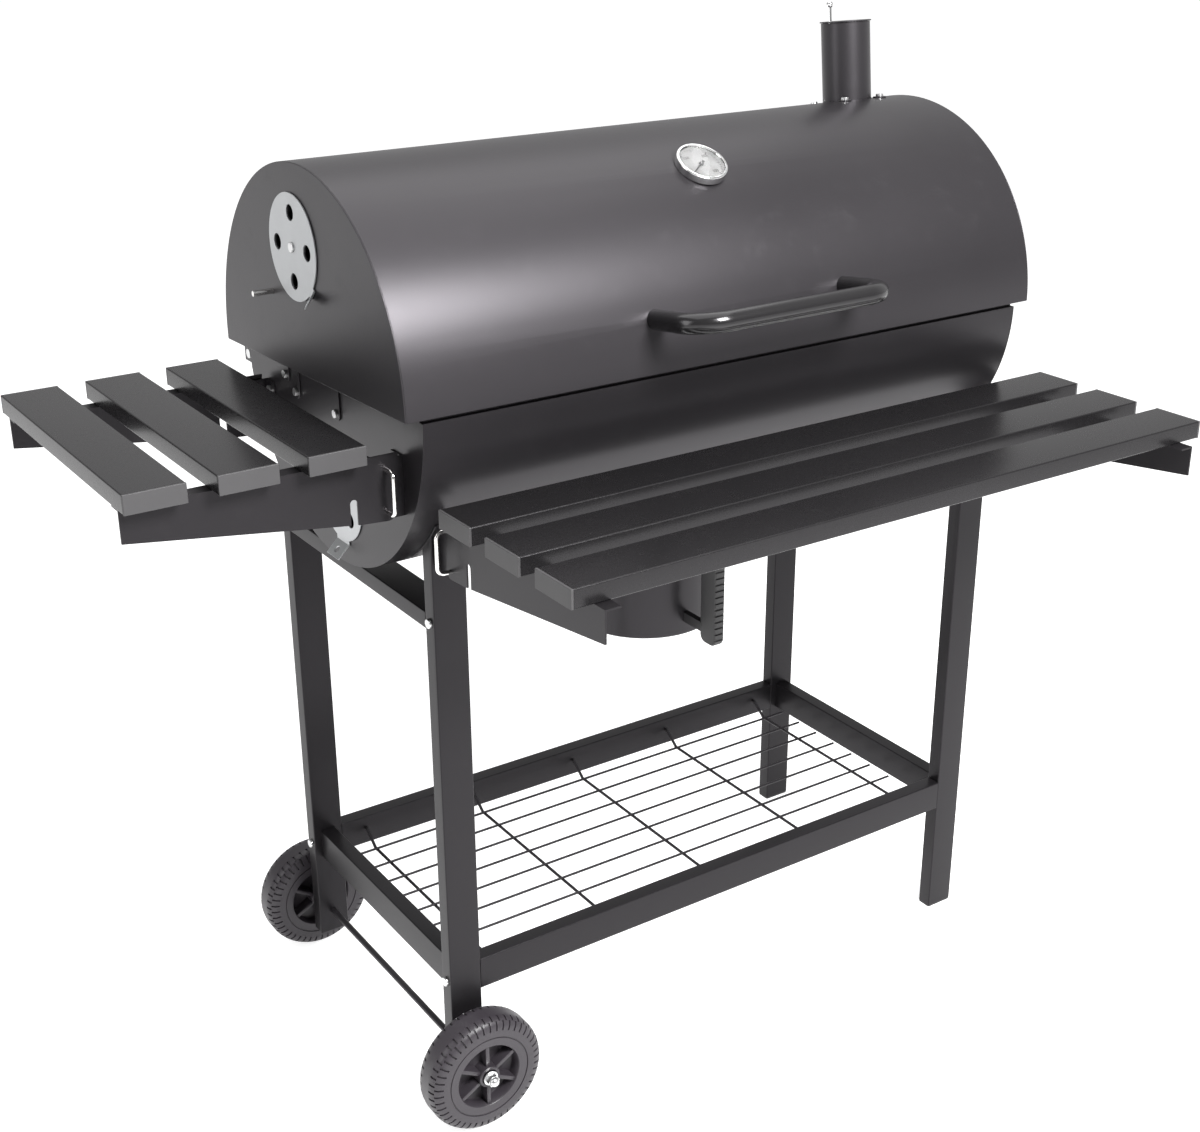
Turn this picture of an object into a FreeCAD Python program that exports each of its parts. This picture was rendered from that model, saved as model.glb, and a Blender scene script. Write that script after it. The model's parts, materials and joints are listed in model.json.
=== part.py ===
import FreeCAD, Part
import math
import os

V = FreeCAD.Vector

# ---------------------------------------------------------------- driving sizes (mm)
# x runs from the lid's left end, y runs rearward from the barrel axis, z from the floor.

# barrel
LID_LENGTH = 840.0
LID_RADIUS = 216.0
LID_AXIS_Z = 880.0
LID_REAR_DROP = 12.5
SHEET = 1.5
BOWL_RADIUS = 210.0
BOWL_DROP = 6.0
BOWL_INSET = 22.0
BOWL_LENGTH = 803.0
RIM_STEP = 6.5
RIM_LIP = 12.0
STRAP_HALF = 8.0

# stand
LEG_WIDTH = 40.0
LEG_DEPTH = 20.0
LEG_WALL = 1.5
LEG_CORNER = 2.5
LEG_LEFT_X = 51.5
LEG_SPACING_X = 762.5
LEG_FRONT_Y = -159.0
LEG_SPACING_Y = 362.0
LEFT_LEG_BOTTOM = 45.0
REAR_LEG_TOP = 840.0
SADDLE_THICK = 2.0
SADDLE_RISE = 16.0
CROSS_TUBE_Z = 623.0
SHELF_TOP = 200.0
SHELF_RAIL_WIDTH = 20.0
SHELF_RAIL_HEIGHT = 40.0
FOOT_THICK = 3.0
FOOT_PLUG = 14.0

# wire shelf
SHELF_WIRE_Z = 165.5
CROSS_WIRE_RADIUS = 2.0
LONG_WIRE_RADIUS = 1.6
CROSS_WIRE_COUNT = 5
CROSS_WIRE_PITCH = 163.5
LONG_WIRE_COUNT = 8
LONG_WIRE_PITCH = 39.3
WIRE_HOOK_RISE = 17.5
WIRE_HOOK_RUN = 26.0
WIRE_HOOK_GAP = 4.0
WIRE_HOOK_DEPTH = 7.0
WIRE_HOLE_CLEARANCE = 0.3

# wheels
WHEEL_RADIUS = 73.5
WHEEL_WIDTH = 45.0
AXLE_RADIUS = 4.0
AXLE_FIT = 0.06
AXLE_END = 12.0
FRONT_WHEEL_GAP = 4.0
REAR_WHEEL_GAP = 18.0
WHEEL_SIDE_GAP = 0.5
TYRE_DEPTH = 20.0
HUB_RADIUS = 13.0
WEB_THICK = 8.0
SPOKES = 6
TREADS = 48
TREAD_DEPTH = 2.5

# tables
SLAT_WIDTH = 61.0
SLAT_THICK = 20.0
SLAT_WALL = 1.2
SLAT_CAP = 3.0
SLAT_PLUG = 12.0
FRONT_SLAT_TOP = 785.0
FRONT_SLAT_LENGTH = 845.0
FRONT_SLAT_LEFT = 33.0
FRONT_SLAT_INNER = 25.0
FRONT_SLAT_PITCH = 90.0
SIDE_SLAT_TOP = 855.0
SIDE_SLAT_LENGTH = 371.0
SIDE_SLAT_INNER = 29.0
SIDE_SLAT_PITCH = 91.0

# folding arms, brackets and clips
ARM_THICK = 2.0
ARM_RISE = 61.0
ARM_END_RADIUS = 9.0
FRONT_ARM_LEAN = -6.0
SIDE_ARM_LEAN = 5.0
ARM_TIP_HEIGHT = 34.0
ARM_FLANGE = 18.0
ARM_FLANGE_START = 16.0
ARM_NOTCH_AT = 37.0
ARM_NOTCH_WIDTH = 8.0
ARM_NOTCH_HEIGHT = 30.0
FRONT_ARM_REACH = 282.0
SIDE_ARM_REACH = 271.0
FRONT_PIVOT_OUT = 29.0
SIDE_PIVOT_OUT = 20.0
FRONT_ARM_LEFT_X = 58.0
FRONT_ARM_SPAN = 790.0
SIDE_ARM_SPAN = 332.0
BRACKET_GAP = 0.4
BRACKET_THICK = 2.0
BRACKET_TOP = 56.0
BRACKET_FOOT = 8.0
BRACKET_NOSE = 10.0
BRACKET_FLANGE = 22.0
BRACKET_BOLT_UP = 46.0
FRONT_BRACKET_BOLT_UP = 8.0
CLIP_WIRE = 2.4
CLIP_SPACING = 46.0
CLIP_STAND = 15.0
CLIP_BEND = 7.0
CLIP_TIP_SHORT = 2.0
CLIP_TIP_LONG = 12.0
CLIP_PULL = 5.0
CLIP_FIT = 0.08
SCREW_SHANK = 2.0
SCREW_HEAD = 4.2

# lid furniture
HANDLE_ANGLE = 15.0
HANDLE_LEG_ANGLE = 7.5
HANDLE_CENTRE_X = 426.0
HANDLE_SPAN = 256.0
HANDLE_TUBE = 11.0
HANDLE_STAND = 78.0
HANDLE_BEND = 35.0
GAUGE_X = 425.0
GAUGE_ANGLE = 59.0
GAUGE_RADIUS = 29.5
GAUGE_HEIGHT = 9.0
CHIMNEY_X = 770.0
CHIMNEY_BACK = 45.0
CHIMNEY_LEAN = 6.0
CHIMNEY_RADIUS = 30.0
CHIMNEY_HEIGHT = 93.0
CHIMNEY_BOLT_RADIUS = 40.0
CAP_RADIUS = 31.5
CAP_PIN_OUT = 24.5
CAP_PIN_RADIUS = 2.25
CAP_PIN_RISE = 22.0
CAP_GAP = 0.4
HINGE_OUT = 230.0
HINGE_Z = 842.0
HINGE_LEFT_X = 38.0
HINGE_SPACING = 740.0
HINGE_PIN_RADIUS = 3.0
LEAF_WIDTH = 6.0
LEAF_GAP = 0.5
LEAF_RISE = 42.0
LEAF_BACK = 26.0
LEAF_FOOT = 14.0
RACK_PIVOT_BACK = 76.0
RACK_PIVOT_Z = 951.0
RACK_WIRE = 3.0
RACK_DROP = 32.0
RACK_HALF_DEPTH = 50.0
RACK_BARS = 5
RACK_BAR_PITCH = 16.0
RACK_BAR_WIRE = 2.0
RACK_LOOP_BEND = 5.0

# vents
PIN_FIT = 0.05
VENT_BACK = 14.0
VENT_Z = 1009.0
VENT_RADIUS = 56.0
VENT_HOLE_CIRCLE = 35.6
VENT_HOLE_RADIUS = 8.5
DAMPER_BACK = -15.0
DAMPER_Z = 741.0
DAMPER_RADIUS = 49.5
DAMPER_HOLE_CIRCLE = 30.0
DAMPER_HOLE_RADIUS = 8.5
DISC_THICK = 1.5
DISC_GAP = 0.4
RIVET_RADIUS = 3.0

# grates and ash can
GRATE_Z = 870.0
GRATE_SECTIONS = 3
GRATE_WIRES = 15
GRATE_WIRE = 2.5
GRATE_HALF_DEPTH = 196.0
COAL_GRATE_Z = 745.0
COAL_HALF_DEPTH = 146.0
COAL_WIRES = 34
ASH_X = 432.0
ASH_RADIUS = 90.0
ASH_BOTTOM = 498.0
ASH_TOP = 656.0
ASH_HOLE_RADIUS = 75.0
COLLAR_BOTTOM = 640.0
COLLAR_GAP = 1.0
ASH_DROP = 100.0
ASH_HANDLE_GAP = 36.0
ASH_GRIP_DEPTH = 30.0
ASH_GRIP_LIFT = 8.0
ASH_GRIP_WIDTH = 14.0
ASH_GRIP_LENGTH = 110.0

# ---------------------------------------------------------------- derived sizes
BOWL_Z = LID_AXIS_Z - BOWL_DROP
BOWL_LEFT = BOWL_INSET
BOWL_RIGHT = BOWL_INSET + BOWL_LENGTH
BOWL_MID = BOWL_INSET + BOWL_LENGTH / 2.0
RIM_TOP = BOWL_Z + RIM_LIP
LEG_X = [LEG_LEFT_X, LEG_LEFT_X + LEG_SPACING_X]
LEG_Y = [LEG_FRONT_Y, LEG_FRONT_Y + LEG_SPACING_Y]
STAND_MID_X = LEG_LEFT_X + (LEG_SPACING_X + LEG_WIDTH) / 2.0
STAND_MID_Y = LEG_FRONT_Y + (LEG_SPACING_Y + LEG_DEPTH) / 2.0
AXLE_X = LEG_LEFT_X + LEG_WIDTH / 2.0
AXLE_Z = WHEEL_RADIUS
SHELF_BOTTOM = SHELF_TOP - SHELF_RAIL_HEIGHT
HOOK_Z = SHELF_WIRE_Z + WIRE_HOOK_RISE
FRONT_PIVOT = V(0, LEG_FRONT_Y - FRONT_PIVOT_OUT, FRONT_SLAT_TOP - SLAT_THICK - ARM_RISE)
SIDE_PIVOT = V(BOWL_LEFT - SIDE_PIVOT_OUT, 0, SIDE_SLAT_TOP - SLAT_THICK - ARM_RISE)
SIDE_ARM_Y = SIDE_ARM_SPAN / 2.0
FRONT_ARM_X = [FRONT_ARM_LEFT_X, FRONT_ARM_LEFT_X + FRONT_ARM_SPAN]
STAND_ARM_MID = FRONT_ARM_X[0] + FRONT_ARM_SPAN / 2.0
HINGE_X = [HINGE_LEFT_X, HINGE_LEFT_X + HINGE_SPACING]
FRONT_WHEEL_Y = LEG_FRONT_Y - FRONT_WHEEL_GAP - WHEEL_WIDTH
REAR_WHEEL_Y = LEG_Y[1] + LEG_DEPTH + REAR_WHEEL_GAP
CHIMNEY_DIR = V(0, math.sin(math.radians(CHIMNEY_LEAN)), math.cos(math.radians(CHIMNEY_LEAN)))
CHIMNEY_FOOT = V(CHIMNEY_X, CHIMNEY_BACK, LID_AXIS_Z + math.sqrt(LID_RADIUS ** 2 - CHIMNEY_BACK ** 2))
CAP_PIN = CHIMNEY_FOOT + CHIMNEY_DIR * CHIMNEY_HEIGHT + V(-CAP_PIN_OUT, 0, 0)
GAUGE_DIR = V(0, -math.cos(math.radians(GAUGE_ANGLE)), math.sin(math.radians(GAUGE_ANGLE)))
GAUGE_POS = V(GAUGE_X, 0, LID_AXIS_Z) + GAUGE_DIR * LID_RADIUS
VENT_X = -DISC_GAP
DAMPER_X = BOWL_LEFT - DISC_GAP


# ---------------------------------------------------------------- helpers
def box(x0, x1, y0, y1, z0, z1):
    return Part.makeBox(x1 - x0, y1 - y0, z1 - z0, V(x0, y0, z0))


def cyl(radius, start, direction, length):
    return Part.makeCylinder(radius, length, start, direction)


def ring(outer, inner, start, direction, length):
    return cyl(outer, start, direction, length).cut(cyl(inner, start, direction, length))


def fuse(shapes):
    if len(shapes) == 1:
        return shapes[0]
    return shapes[0].multiFuse(shapes[1:]).removeSplitter()


def group(shapes):
    return Part.makeCompound(shapes)


def prism(points, direction):
    """Solid made by sweeping a closed outline along a direction."""
    return Part.Face(Part.makePolygon(points + [points[0]])).extrude(direction)


def bent_rod(points, radius, bend):
    """Round rod along a polyline whose corners are arcs of the bend radius."""
    edges = []
    last = points[0]
    for i in range(1, len(points) - 1):
        back = (points[i - 1] - points[i]).normalize()
        ahead = (points[i + 1] - points[i]).normalize()
        half = back.getAngle(ahead) / 2.0
        reach = bend / math.tan(half)
        enter = points[i] + back * reach
        leave = points[i] + ahead * reach
        middle = (back + ahead).normalize()
        mid = points[i] + middle * (bend / math.sin(half) - bend)
        edges.append(Part.makeLine(last, enter))
        edges.append(Part.Arc(enter, mid, leave).toShape())
        last = leave
    edges.append(Part.makeLine(last, points[-1]))
    path = Part.Wire(edges)
    section = Part.Wire([Part.makeCircle(radius, points[0], points[1] - points[0])])
    return path.makePipeShell([section], True, True)


def square_tube(x0, x1, y0, y1, z0, z1, wall, axis):
    """Closed-section tube; the bore runs along the named axis."""
    solid = box(x0, x1, y0, y1, z0, z1)
    pads = [0.0 if name == axis else wall for name in "xyz"]
    bore = box(x0 + pads[0], x1 - pads[0], y0 + pads[1], y1 - pads[1], z0 + pads[2], z1 - pads[2])
    along = {"x": V(1, 0, 0), "y": V(0, 1, 0), "z": V(0, 0, 1)}[axis]
    rims = [e for e in solid.Edges if abs(abs(e.tangentAt(e.FirstParameter).dot(along)) - 1) < 1e-6]
    return solid.makeFillet(LEG_CORNER * 0.6, rims).cut(bore)


def mirror_x(shape, x):
    return shape.mirror(V(x, 0, 0), V(1, 0, 0))


def mirror_y(shape):
    return shape.mirror(V(0, 0, 0), V(0, 1, 0))


# ---------------------------------------------------------------- barrel bowl
def bowl_shell():
    """Rolled lower half of the barrel with a stepped rim that stands up inside the lid."""
    x0 = BOWL_LEFT + SHEET
    length = BOWL_LENGTH - 2 * SHEET
    shell = ring(BOWL_RADIUS, BOWL_RADIUS - SHEET, V(x0, 0, BOWL_Z), V(1, 0, 0), length)
    shell = shell.cut(box(x0 - 1, x0 + length + 1, -300, 300, BOWL_Z, BOWL_Z + 300))
    parts = [shell]
    for side in (-1, 1):
        outer = side * BOWL_RADIUS
        inner = side * (BOWL_RADIUS - RIM_STEP)
        wall = side * (BOWL_RADIUS - RIM_STEP + SHEET)
        parts.append(box(x0, x0 + length, min(outer, inner), max(outer, inner), BOWL_Z - SHEET, BOWL_Z))
        parts.append(box(x0, x0 + length, min(wall, inner), max(wall, inner), BOWL_Z - SHEET, RIM_TOP))
    solid = fuse(parts)
    return solid.cut(cyl(ASH_HOLE_RADIUS, V(ASH_X, 0, BOWL_Z - BOWL_RADIUS - 5), V(0, 0, 1), 60))


def bowl_end(x):
    """End plate of the bowl, carried up to the rim lip."""
    disc = cyl(BOWL_RADIUS, V(x, 0, BOWL_Z), V(1, 0, 0), SHEET)
    plate = disc.cut(box(x - 1, x + SHEET + 1, -300, 300, BOWL_Z, BOWL_Z + 300))
    half = BOWL_RADIUS - RIM_STEP
    return fuse([plate, box(x, x + SHEET, -half, half, BOWL_Z - 1, RIM_TOP)])


def bowl_left_end():
    plate = bowl_end(BOWL_LEFT)
    for i in range(4):
        a = math.radians(45 + 90 * i)
        y = DAMPER_BACK + DAMPER_HOLE_CIRCLE * math.cos(a)
        z = DAMPER_Z + DAMPER_HOLE_CIRCLE * math.sin(a)
        plate = plate.cut(cyl(DAMPER_HOLE_RADIUS, V(BOWL_LEFT - 1, y, z), V(1, 0, 0), SHEET + 2))
    plate = plate.cut(cyl(RIVET_RADIUS, V(BOWL_LEFT - 1, DAMPER_BACK, DAMPER_Z), V(1, 0, 0), SHEET + 2))
    bolt_y = SIDE_ARM_Y - ARM_THICK - BRACKET_GAP - BRACKET_FLANGE / 2.0
    bolt_z = SIDE_PIVOT.z + BRACKET_BOLT_UP
    for y, z in strap_bolts() + [(-bolt_y, bolt_z), (bolt_y, bolt_z)]:
        plate = plate.cut(cyl(SCREW_SHANK, V(BOWL_LEFT - 1, y, z), V(1, 0, 0), SHEET + 2))
    return plate


def strap_bolts():
    """Bolt positions (y, z) of the straps on the bowl's left end plate."""
    return [(-19.0, BOWL_Z - 38.5), (80.0, BOWL_Z - 39.0), (106.0, BOWL_Z - 25.0)]


def end_straps():
    """Short round-ended hanging straps bolted to the left end plate."""
    straps = []
    for y, z in strap_bolts():
        strap = box(BOWL_LEFT - 2, BOWL_LEFT, y - STRAP_HALF, y + STRAP_HALF, z, RIM_TOP - 6)
        strap = fuse([strap, cyl(STRAP_HALF, V(BOWL_LEFT - 2, y, z), V(1, 0, 0), 2)])
        straps.append(strap.cut(cyl(SCREW_SHANK, V(BOWL_LEFT - 3, y, z), V(1, 0, 0), 4)))
    return group(straps)


def strap_screws():
    screws = []
    for y, z in strap_bolts():
        head = cyl(4.5, V(BOWL_LEFT - 5, y, z), V(1, 0, 0), 3)
        shank = cyl(SCREW_SHANK, V(BOWL_LEFT - 2, y, z), V(1, 0, 0), SHEET + 4)
        nut = ring(4.0, SCREW_SHANK, V(BOWL_LEFT + SHEET, y, z), V(1, 0, 0), 2.5)
        screws.append(fuse([head, shank, nut]))
    return screws


def grate_ledges():
    """Angle strips inside the bowl that carry the cooking grates and the charcoal grate."""
    bowl = cyl(BOWL_RADIUS - SHEET, V(BOWL_LEFT, 0, BOWL_Z), V(1, 0, 0), BOWL_LENGTH)
    cooking = (GRATE_Z - 3.6 * GRATE_WIRE, GRATE_HALF_DEPTH - 14)
    charcoal = (COAL_GRATE_Z, COAL_HALF_DEPTH - 12)
    strips = []
    for top, half in (cooking, charcoal):
        strip = box(BOWL_LEFT + SHEET, BOWL_RIGHT - SHEET, half, half + 40, top - 2, top)
        rear = strip.common(bowl)
        strips += [mirror_y(rear), rear]
    return group(strips)


def ash_collar():
    """Ring under the bowl that the ash can hangs in."""
    outer = ASH_RADIUS + COLLAR_GAP + SHEET
    wall = ring(outer, ASH_RADIUS + COLLAR_GAP, V(ASH_X, 0, COLLAR_BOTTOM), V(0, 0, 1), 80)
    return wall.cut(cyl(BOWL_RADIUS, V(BOWL_LEFT, 0, BOWL_Z), V(1, 0, 0), BOWL_LENGTH))


# ---------------------------------------------------------------- grates
def cooking_grates():
    """Welded wire grates side by side across the barrel."""
    grates = []
    x0 = BOWL_LEFT + SHEET + 8
    pitch = (BOWL_LENGTH - 2 * SHEET - 16) / GRATE_SECTIONS
    z = GRATE_Z - GRATE_WIRE
    for s in range(GRATE_SECTIONS):
        left = x0 + s * pitch + 3
        right = x0 + (s + 1) * pitch - 3
        rods = []
        for i in range(GRATE_WIRES):
            x = left + GRATE_WIRE + (right - left - 2 * GRATE_WIRE) * i / (GRATE_WIRES - 1)
            rods.append(cyl(GRATE_WIRE, V(x, -GRATE_HALF_DEPTH, z), V(0, 1, 0), 2 * GRATE_HALF_DEPTH))
        for y in (-GRATE_HALF_DEPTH + 8, 0, GRATE_HALF_DEPTH - 8):
            rods.append(cyl(GRATE_WIRE, V(left, y, z - 1.6 * GRATE_WIRE), V(1, 0, 0), right - left))
        grates.append(rods[0].multiFuse(rods[1:]))
    return group(grates)


def charcoal_grate():
    x0 = BOWL_LEFT + SHEET + 10
    x1 = BOWL_RIGHT - SHEET - 10
    z = COAL_GRATE_Z + 2.6 * GRATE_WIRE
    rods = []
    for i in range(COAL_WIRES):
        x = x0 + GRATE_WIRE + (x1 - x0 - 2 * GRATE_WIRE) * i / (COAL_WIRES - 1)
        rods.append(cyl(GRATE_WIRE, V(x, -COAL_HALF_DEPTH, z), V(0, 1, 0), 2 * COAL_HALF_DEPTH))
    for y in (-COAL_HALF_DEPTH + 5, 0, COAL_HALF_DEPTH - 5):
        rods.append(cyl(GRATE_WIRE, V(x0, y, z - 1.6 * GRATE_WIRE), V(1, 0, 0), x1 - x0))
    return rods[0].multiFuse(rods[1:])


# ---------------------------------------------------------------- stand
def frame_bolt_spots():
    """Pan-head bolts on the outer leg faces: (x of the face, outward sign, y, z)."""
    spots = []
    for y in LEG_Y:
        for z in (SHELF_TOP - SHELF_RAIL_HEIGHT / 2.0, CROSS_TUBE_Z + LEG_DEPTH / 2.0):
            spots.append((LEG_X[0], -1, y + LEG_DEPTH / 2.0, z))
            spots.append((LEG_X[1] + LEG_WIDTH, 1, y + LEG_DEPTH / 2.0, z))
    return spots


def leg(x, y, bottom, top):
    """Upright of rectangular tube whose head is notched round the barrel."""
    tube = square_tube(x, x + LEG_WIDTH, y, y + LEG_DEPTH, bottom, top, LEG_WALL, "z")
    saddle = cyl(BOWL_RADIUS + SADDLE_THICK, V(x - 1, 0, BOWL_Z), V(1, 0, 0), LEG_WIDTH + 2)
    tube = tube.cut(saddle)
    for face, sign, by, bz in frame_bolt_spots():
        if abs(face - x) < LEG_WIDTH + 1 and y < by < y + LEG_DEPTH:
            tube = tube.cut(cyl(3, V(face - 3, by, bz), V(1, 0, 0), 6))
    inward = FRONT_ARM_X[0] + ARM_THICK + BRACKET_GAP + BRACKET_FLANGE / 2.0
    bolt_z = FRONT_PIVOT.z + FRONT_BRACKET_BOLT_UP
    for bolt_x in (inward, 2 * STAND_ARM_MID - inward):
        tube = tube.cut(cyl(SCREW_SHANK, V(bolt_x, LEG_Y[0] - 1, bolt_z), V(0, 1, 0), LEG_WALL + 2))
    return tube


def left_leg(y, top):
    tube = leg(LEG_X[0], y, LEFT_LEG_BOTTOM, top)
    return tube.cut(cyl(AXLE_RADIUS, V(AXLE_X, y - 1, AXLE_Z), V(0, 1, 0), LEG_DEPTH + 2))


def right_leg(y, top):
    return leg(LEG_X[1], y, FOOT_THICK, top)


def leg_saddle(y, leg_top):
    """Curved tab welded round the bowl where a leg meets it, one over each leg pair."""
    tabs = []
    mid = y + LEG_DEPTH / 2.0
    for x in LEG_X:
        right = min(x + LEG_WIDTH, BOWL_RIGHT)
        band = ring(BOWL_RADIUS + SADDLE_THICK, BOWL_RADIUS, V(x, 0, BOWL_Z), V(1, 0, 0), right - x)
        low = leg_top - 38.0 if mid < 0 else leg_top - 52.0
        keep = box(x - 1, x + LEG_WIDTH + 1, min(0, 2 * mid), max(0, 2 * mid), low, leg_top + SADDLE_RISE)
        tabs.append(band.common(keep))
    return tabs


def front_leg_top():
    reach = -LEG_FRONT_Y
    return BOWL_Z - math.sqrt((BOWL_RADIUS + SADDLE_THICK) ** 2 - reach ** 2)


def cross_tubes():
    """Flat tubes joining each front leg to its rear leg just below the barrel."""
    y0 = LEG_Y[0] + LEG_DEPTH
    z1 = CROSS_TUBE_Z + LEG_DEPTH
    tubes = []
    for x in LEG_X:
        tubes.append(square_tube(x, x + LEG_WIDTH, y0, LEG_Y[1], CROSS_TUBE_Z, z1, LEG_WALL, "y"))
    return group(tubes)


def hook_holes(y, length):
    holes = []
    for x in cross_wire_xs():
        r = CROSS_WIRE_RADIUS + WIRE_HOLE_CLEARANCE
        holes.append(cyl(r, V(x, y, HOOK_Z + WIRE_HOLE_CLEARANCE), V(0, 1, 0), length))
    return holes


def cross_wire_xs():
    first = STAND_MID_X - CROSS_WIRE_PITCH * (CROSS_WIRE_COUNT - 1) / 2.0
    return [first + CROSS_WIRE_PITCH * i for i in range(CROSS_WIRE_COUNT)]


def shelf_long_rail(y, inner_wall):
    """Front or rear shelf rail between the legs, drilled for the wire hooks."""
    x0 = LEG_X[0] + LEG_WIDTH
    y1 = y + SHELF_RAIL_WIDTH
    rail = square_tube(x0, LEG_X[1], y, y1, SHELF_BOTTOM, SHELF_TOP, LEG_WALL, "x")
    for hole in hook_holes(inner_wall - LEG_WALL - 1, 2 * LEG_WALL + 2):
        rail = rail.cut(hole)
    return rail


def shelf_side_rails():
    rails = []
    inset = (LEG_WIDTH - SHELF_RAIL_WIDTH) / 2.0
    for x in LEG_X:
        x0 = x + inset
        rails.append(square_tube(x0, x0 + SHELF_RAIL_WIDTH, LEG_Y[0] + LEG_DEPTH, LEG_Y[1],
                                 SHELF_BOTTOM, SHELF_TOP, LEG_WALL, "y"))
    return group(rails)


def shelf_grid():
    """Wire shelf: cross wires with hooked ends, long wires welded on top of them."""
    y_front = LEG_Y[0] + SHELF_RAIL_WIDTH
    y_rear = LEG_Y[1]
    rods = []
    for x in cross_wire_xs():
        points = [
            V(x, y_front - WIRE_HOOK_DEPTH, HOOK_Z),
            V(x, y_front + WIRE_HOOK_GAP, HOOK_Z),
            V(x, y_front + WIRE_HOOK_RUN, SHELF_WIRE_Z),
            V(x, y_rear - WIRE_HOOK_RUN, SHELF_WIRE_Z),
            V(x, y_rear - WIRE_HOOK_GAP, HOOK_Z),
            V(x, y_rear + WIRE_HOOK_DEPTH, HOOK_Z),
        ]
        rods.append(bent_rod(points, CROSS_WIRE_RADIUS, CROSS_WIRE_RADIUS * 1.6))
    z = SHELF_WIRE_Z + CROSS_WIRE_RADIUS + LONG_WIRE_RADIUS * 0.7
    x0 = cross_wire_xs()[0] - 30.0
    x1 = cross_wire_xs()[-1] + 30.0
    for i in range(LONG_WIRE_COUNT):
        y = STAND_MID_Y + LONG_WIRE_PITCH * (i - (LONG_WIRE_COUNT - 1) / 2.0)
        rods.append(cyl(LONG_WIRE_RADIUS, V(x0, y, z), V(1, 0, 0), x1 - x0))
    return rods[0].multiFuse(rods[1:])


def frame_bolts():
    bolts = []
    for face, sign, y, z in frame_bolt_spots():
        head = cyl(5.5, V(face, y, z), V(sign, 0, 0), 3.5)
        head = head.makeFillet(1.2, [e for e in head.Edges if abs(e.CenterOfMass.x - face) > 3])
        bolts.append(fuse([head, cyl(3, V(face, y, z), V(-sign, 0, 0), LEG_WALL + 4)]))
    return group(bolts)


def foot_plugs():
    """Plastic plugs pressed into the right legs; they stand on the floor."""
    plugs = []
    x = LEG_X[1]
    for y in LEG_Y:
        pad = box(x, x + LEG_WIDTH, y, y + LEG_DEPTH, 0, FOOT_THICK)
        upright = [e for e in pad.Edges if abs(e.tangentAt(e.FirstParameter).z) > 0.9]
        pad = pad.makeFillet(LEG_CORNER, upright)
        wide = LEG_WIDTH - 2 * LEG_WALL
        deep = LEG_DEPTH - 2 * LEG_WALL
        plug = Part.makeBox(wide, deep, FOOT_PLUG, V(x + LEG_WALL, y + LEG_WALL, 0))
        plugs.append(fuse([pad, plug]))
    return group(plugs)


# ---------------------------------------------------------------- axle and wheels
def axle():
    """Plain rod through both left legs, with a spacer at each wheel."""
    y0 = FRONT_WHEEL_Y - AXLE_END
    y1 = REAR_WHEEL_Y + WHEEL_WIDTH + AXLE_END
    rod = cyl(AXLE_RADIUS, V(AXLE_X, y0, AXLE_Z), V(0, 1, 0), y1 - y0)
    radius = HUB_RADIUS * 0.7
    foot = V(AXLE_X, LEG_Y[0], AXLE_Z)
    front = cyl(radius, foot, V(0, -1, 0), FRONT_WHEEL_GAP - WHEEL_SIDE_GAP)
    back = V(AXLE_X, LEG_Y[1] + LEG_DEPTH, AXLE_Z)
    rear = cyl(radius, back, V(0, 1, 0), REAR_WHEEL_GAP - WHEEL_SIDE_GAP)
    return fuse([rod, front, rear])


def axle_nuts():
    """Domed cap nuts with washers outside both wheels."""
    nuts = []
    for y, sign in ((FRONT_WHEEL_Y, -1), (REAR_WHEEL_Y + WHEEL_WIDTH, 1)):
        start = V(AXLE_X, y + sign * WHEEL_SIDE_GAP, AXLE_Z)
        out = V(0, sign, 0)
        washer = ring(9.0, AXLE_RADIUS, start, out, 1.5)
        flats = []
        for i in range(6):
            a = math.radians(60 * i)
            flats.append(start + out * 1.5 + V(7.5 * math.cos(a), 0, 7.5 * math.sin(a)))
        nut = prism(flats, out * 7.0)
        dome = Part.makeSphere(6.0, start + out * 8.5)
        bore = cyl(AXLE_RADIUS, start - out, out, 1.0 + AXLE_END - WHEEL_SIDE_GAP)
        nuts.append(fuse([washer, nut, dome]).cut(bore))
    return group(nuts)


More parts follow.
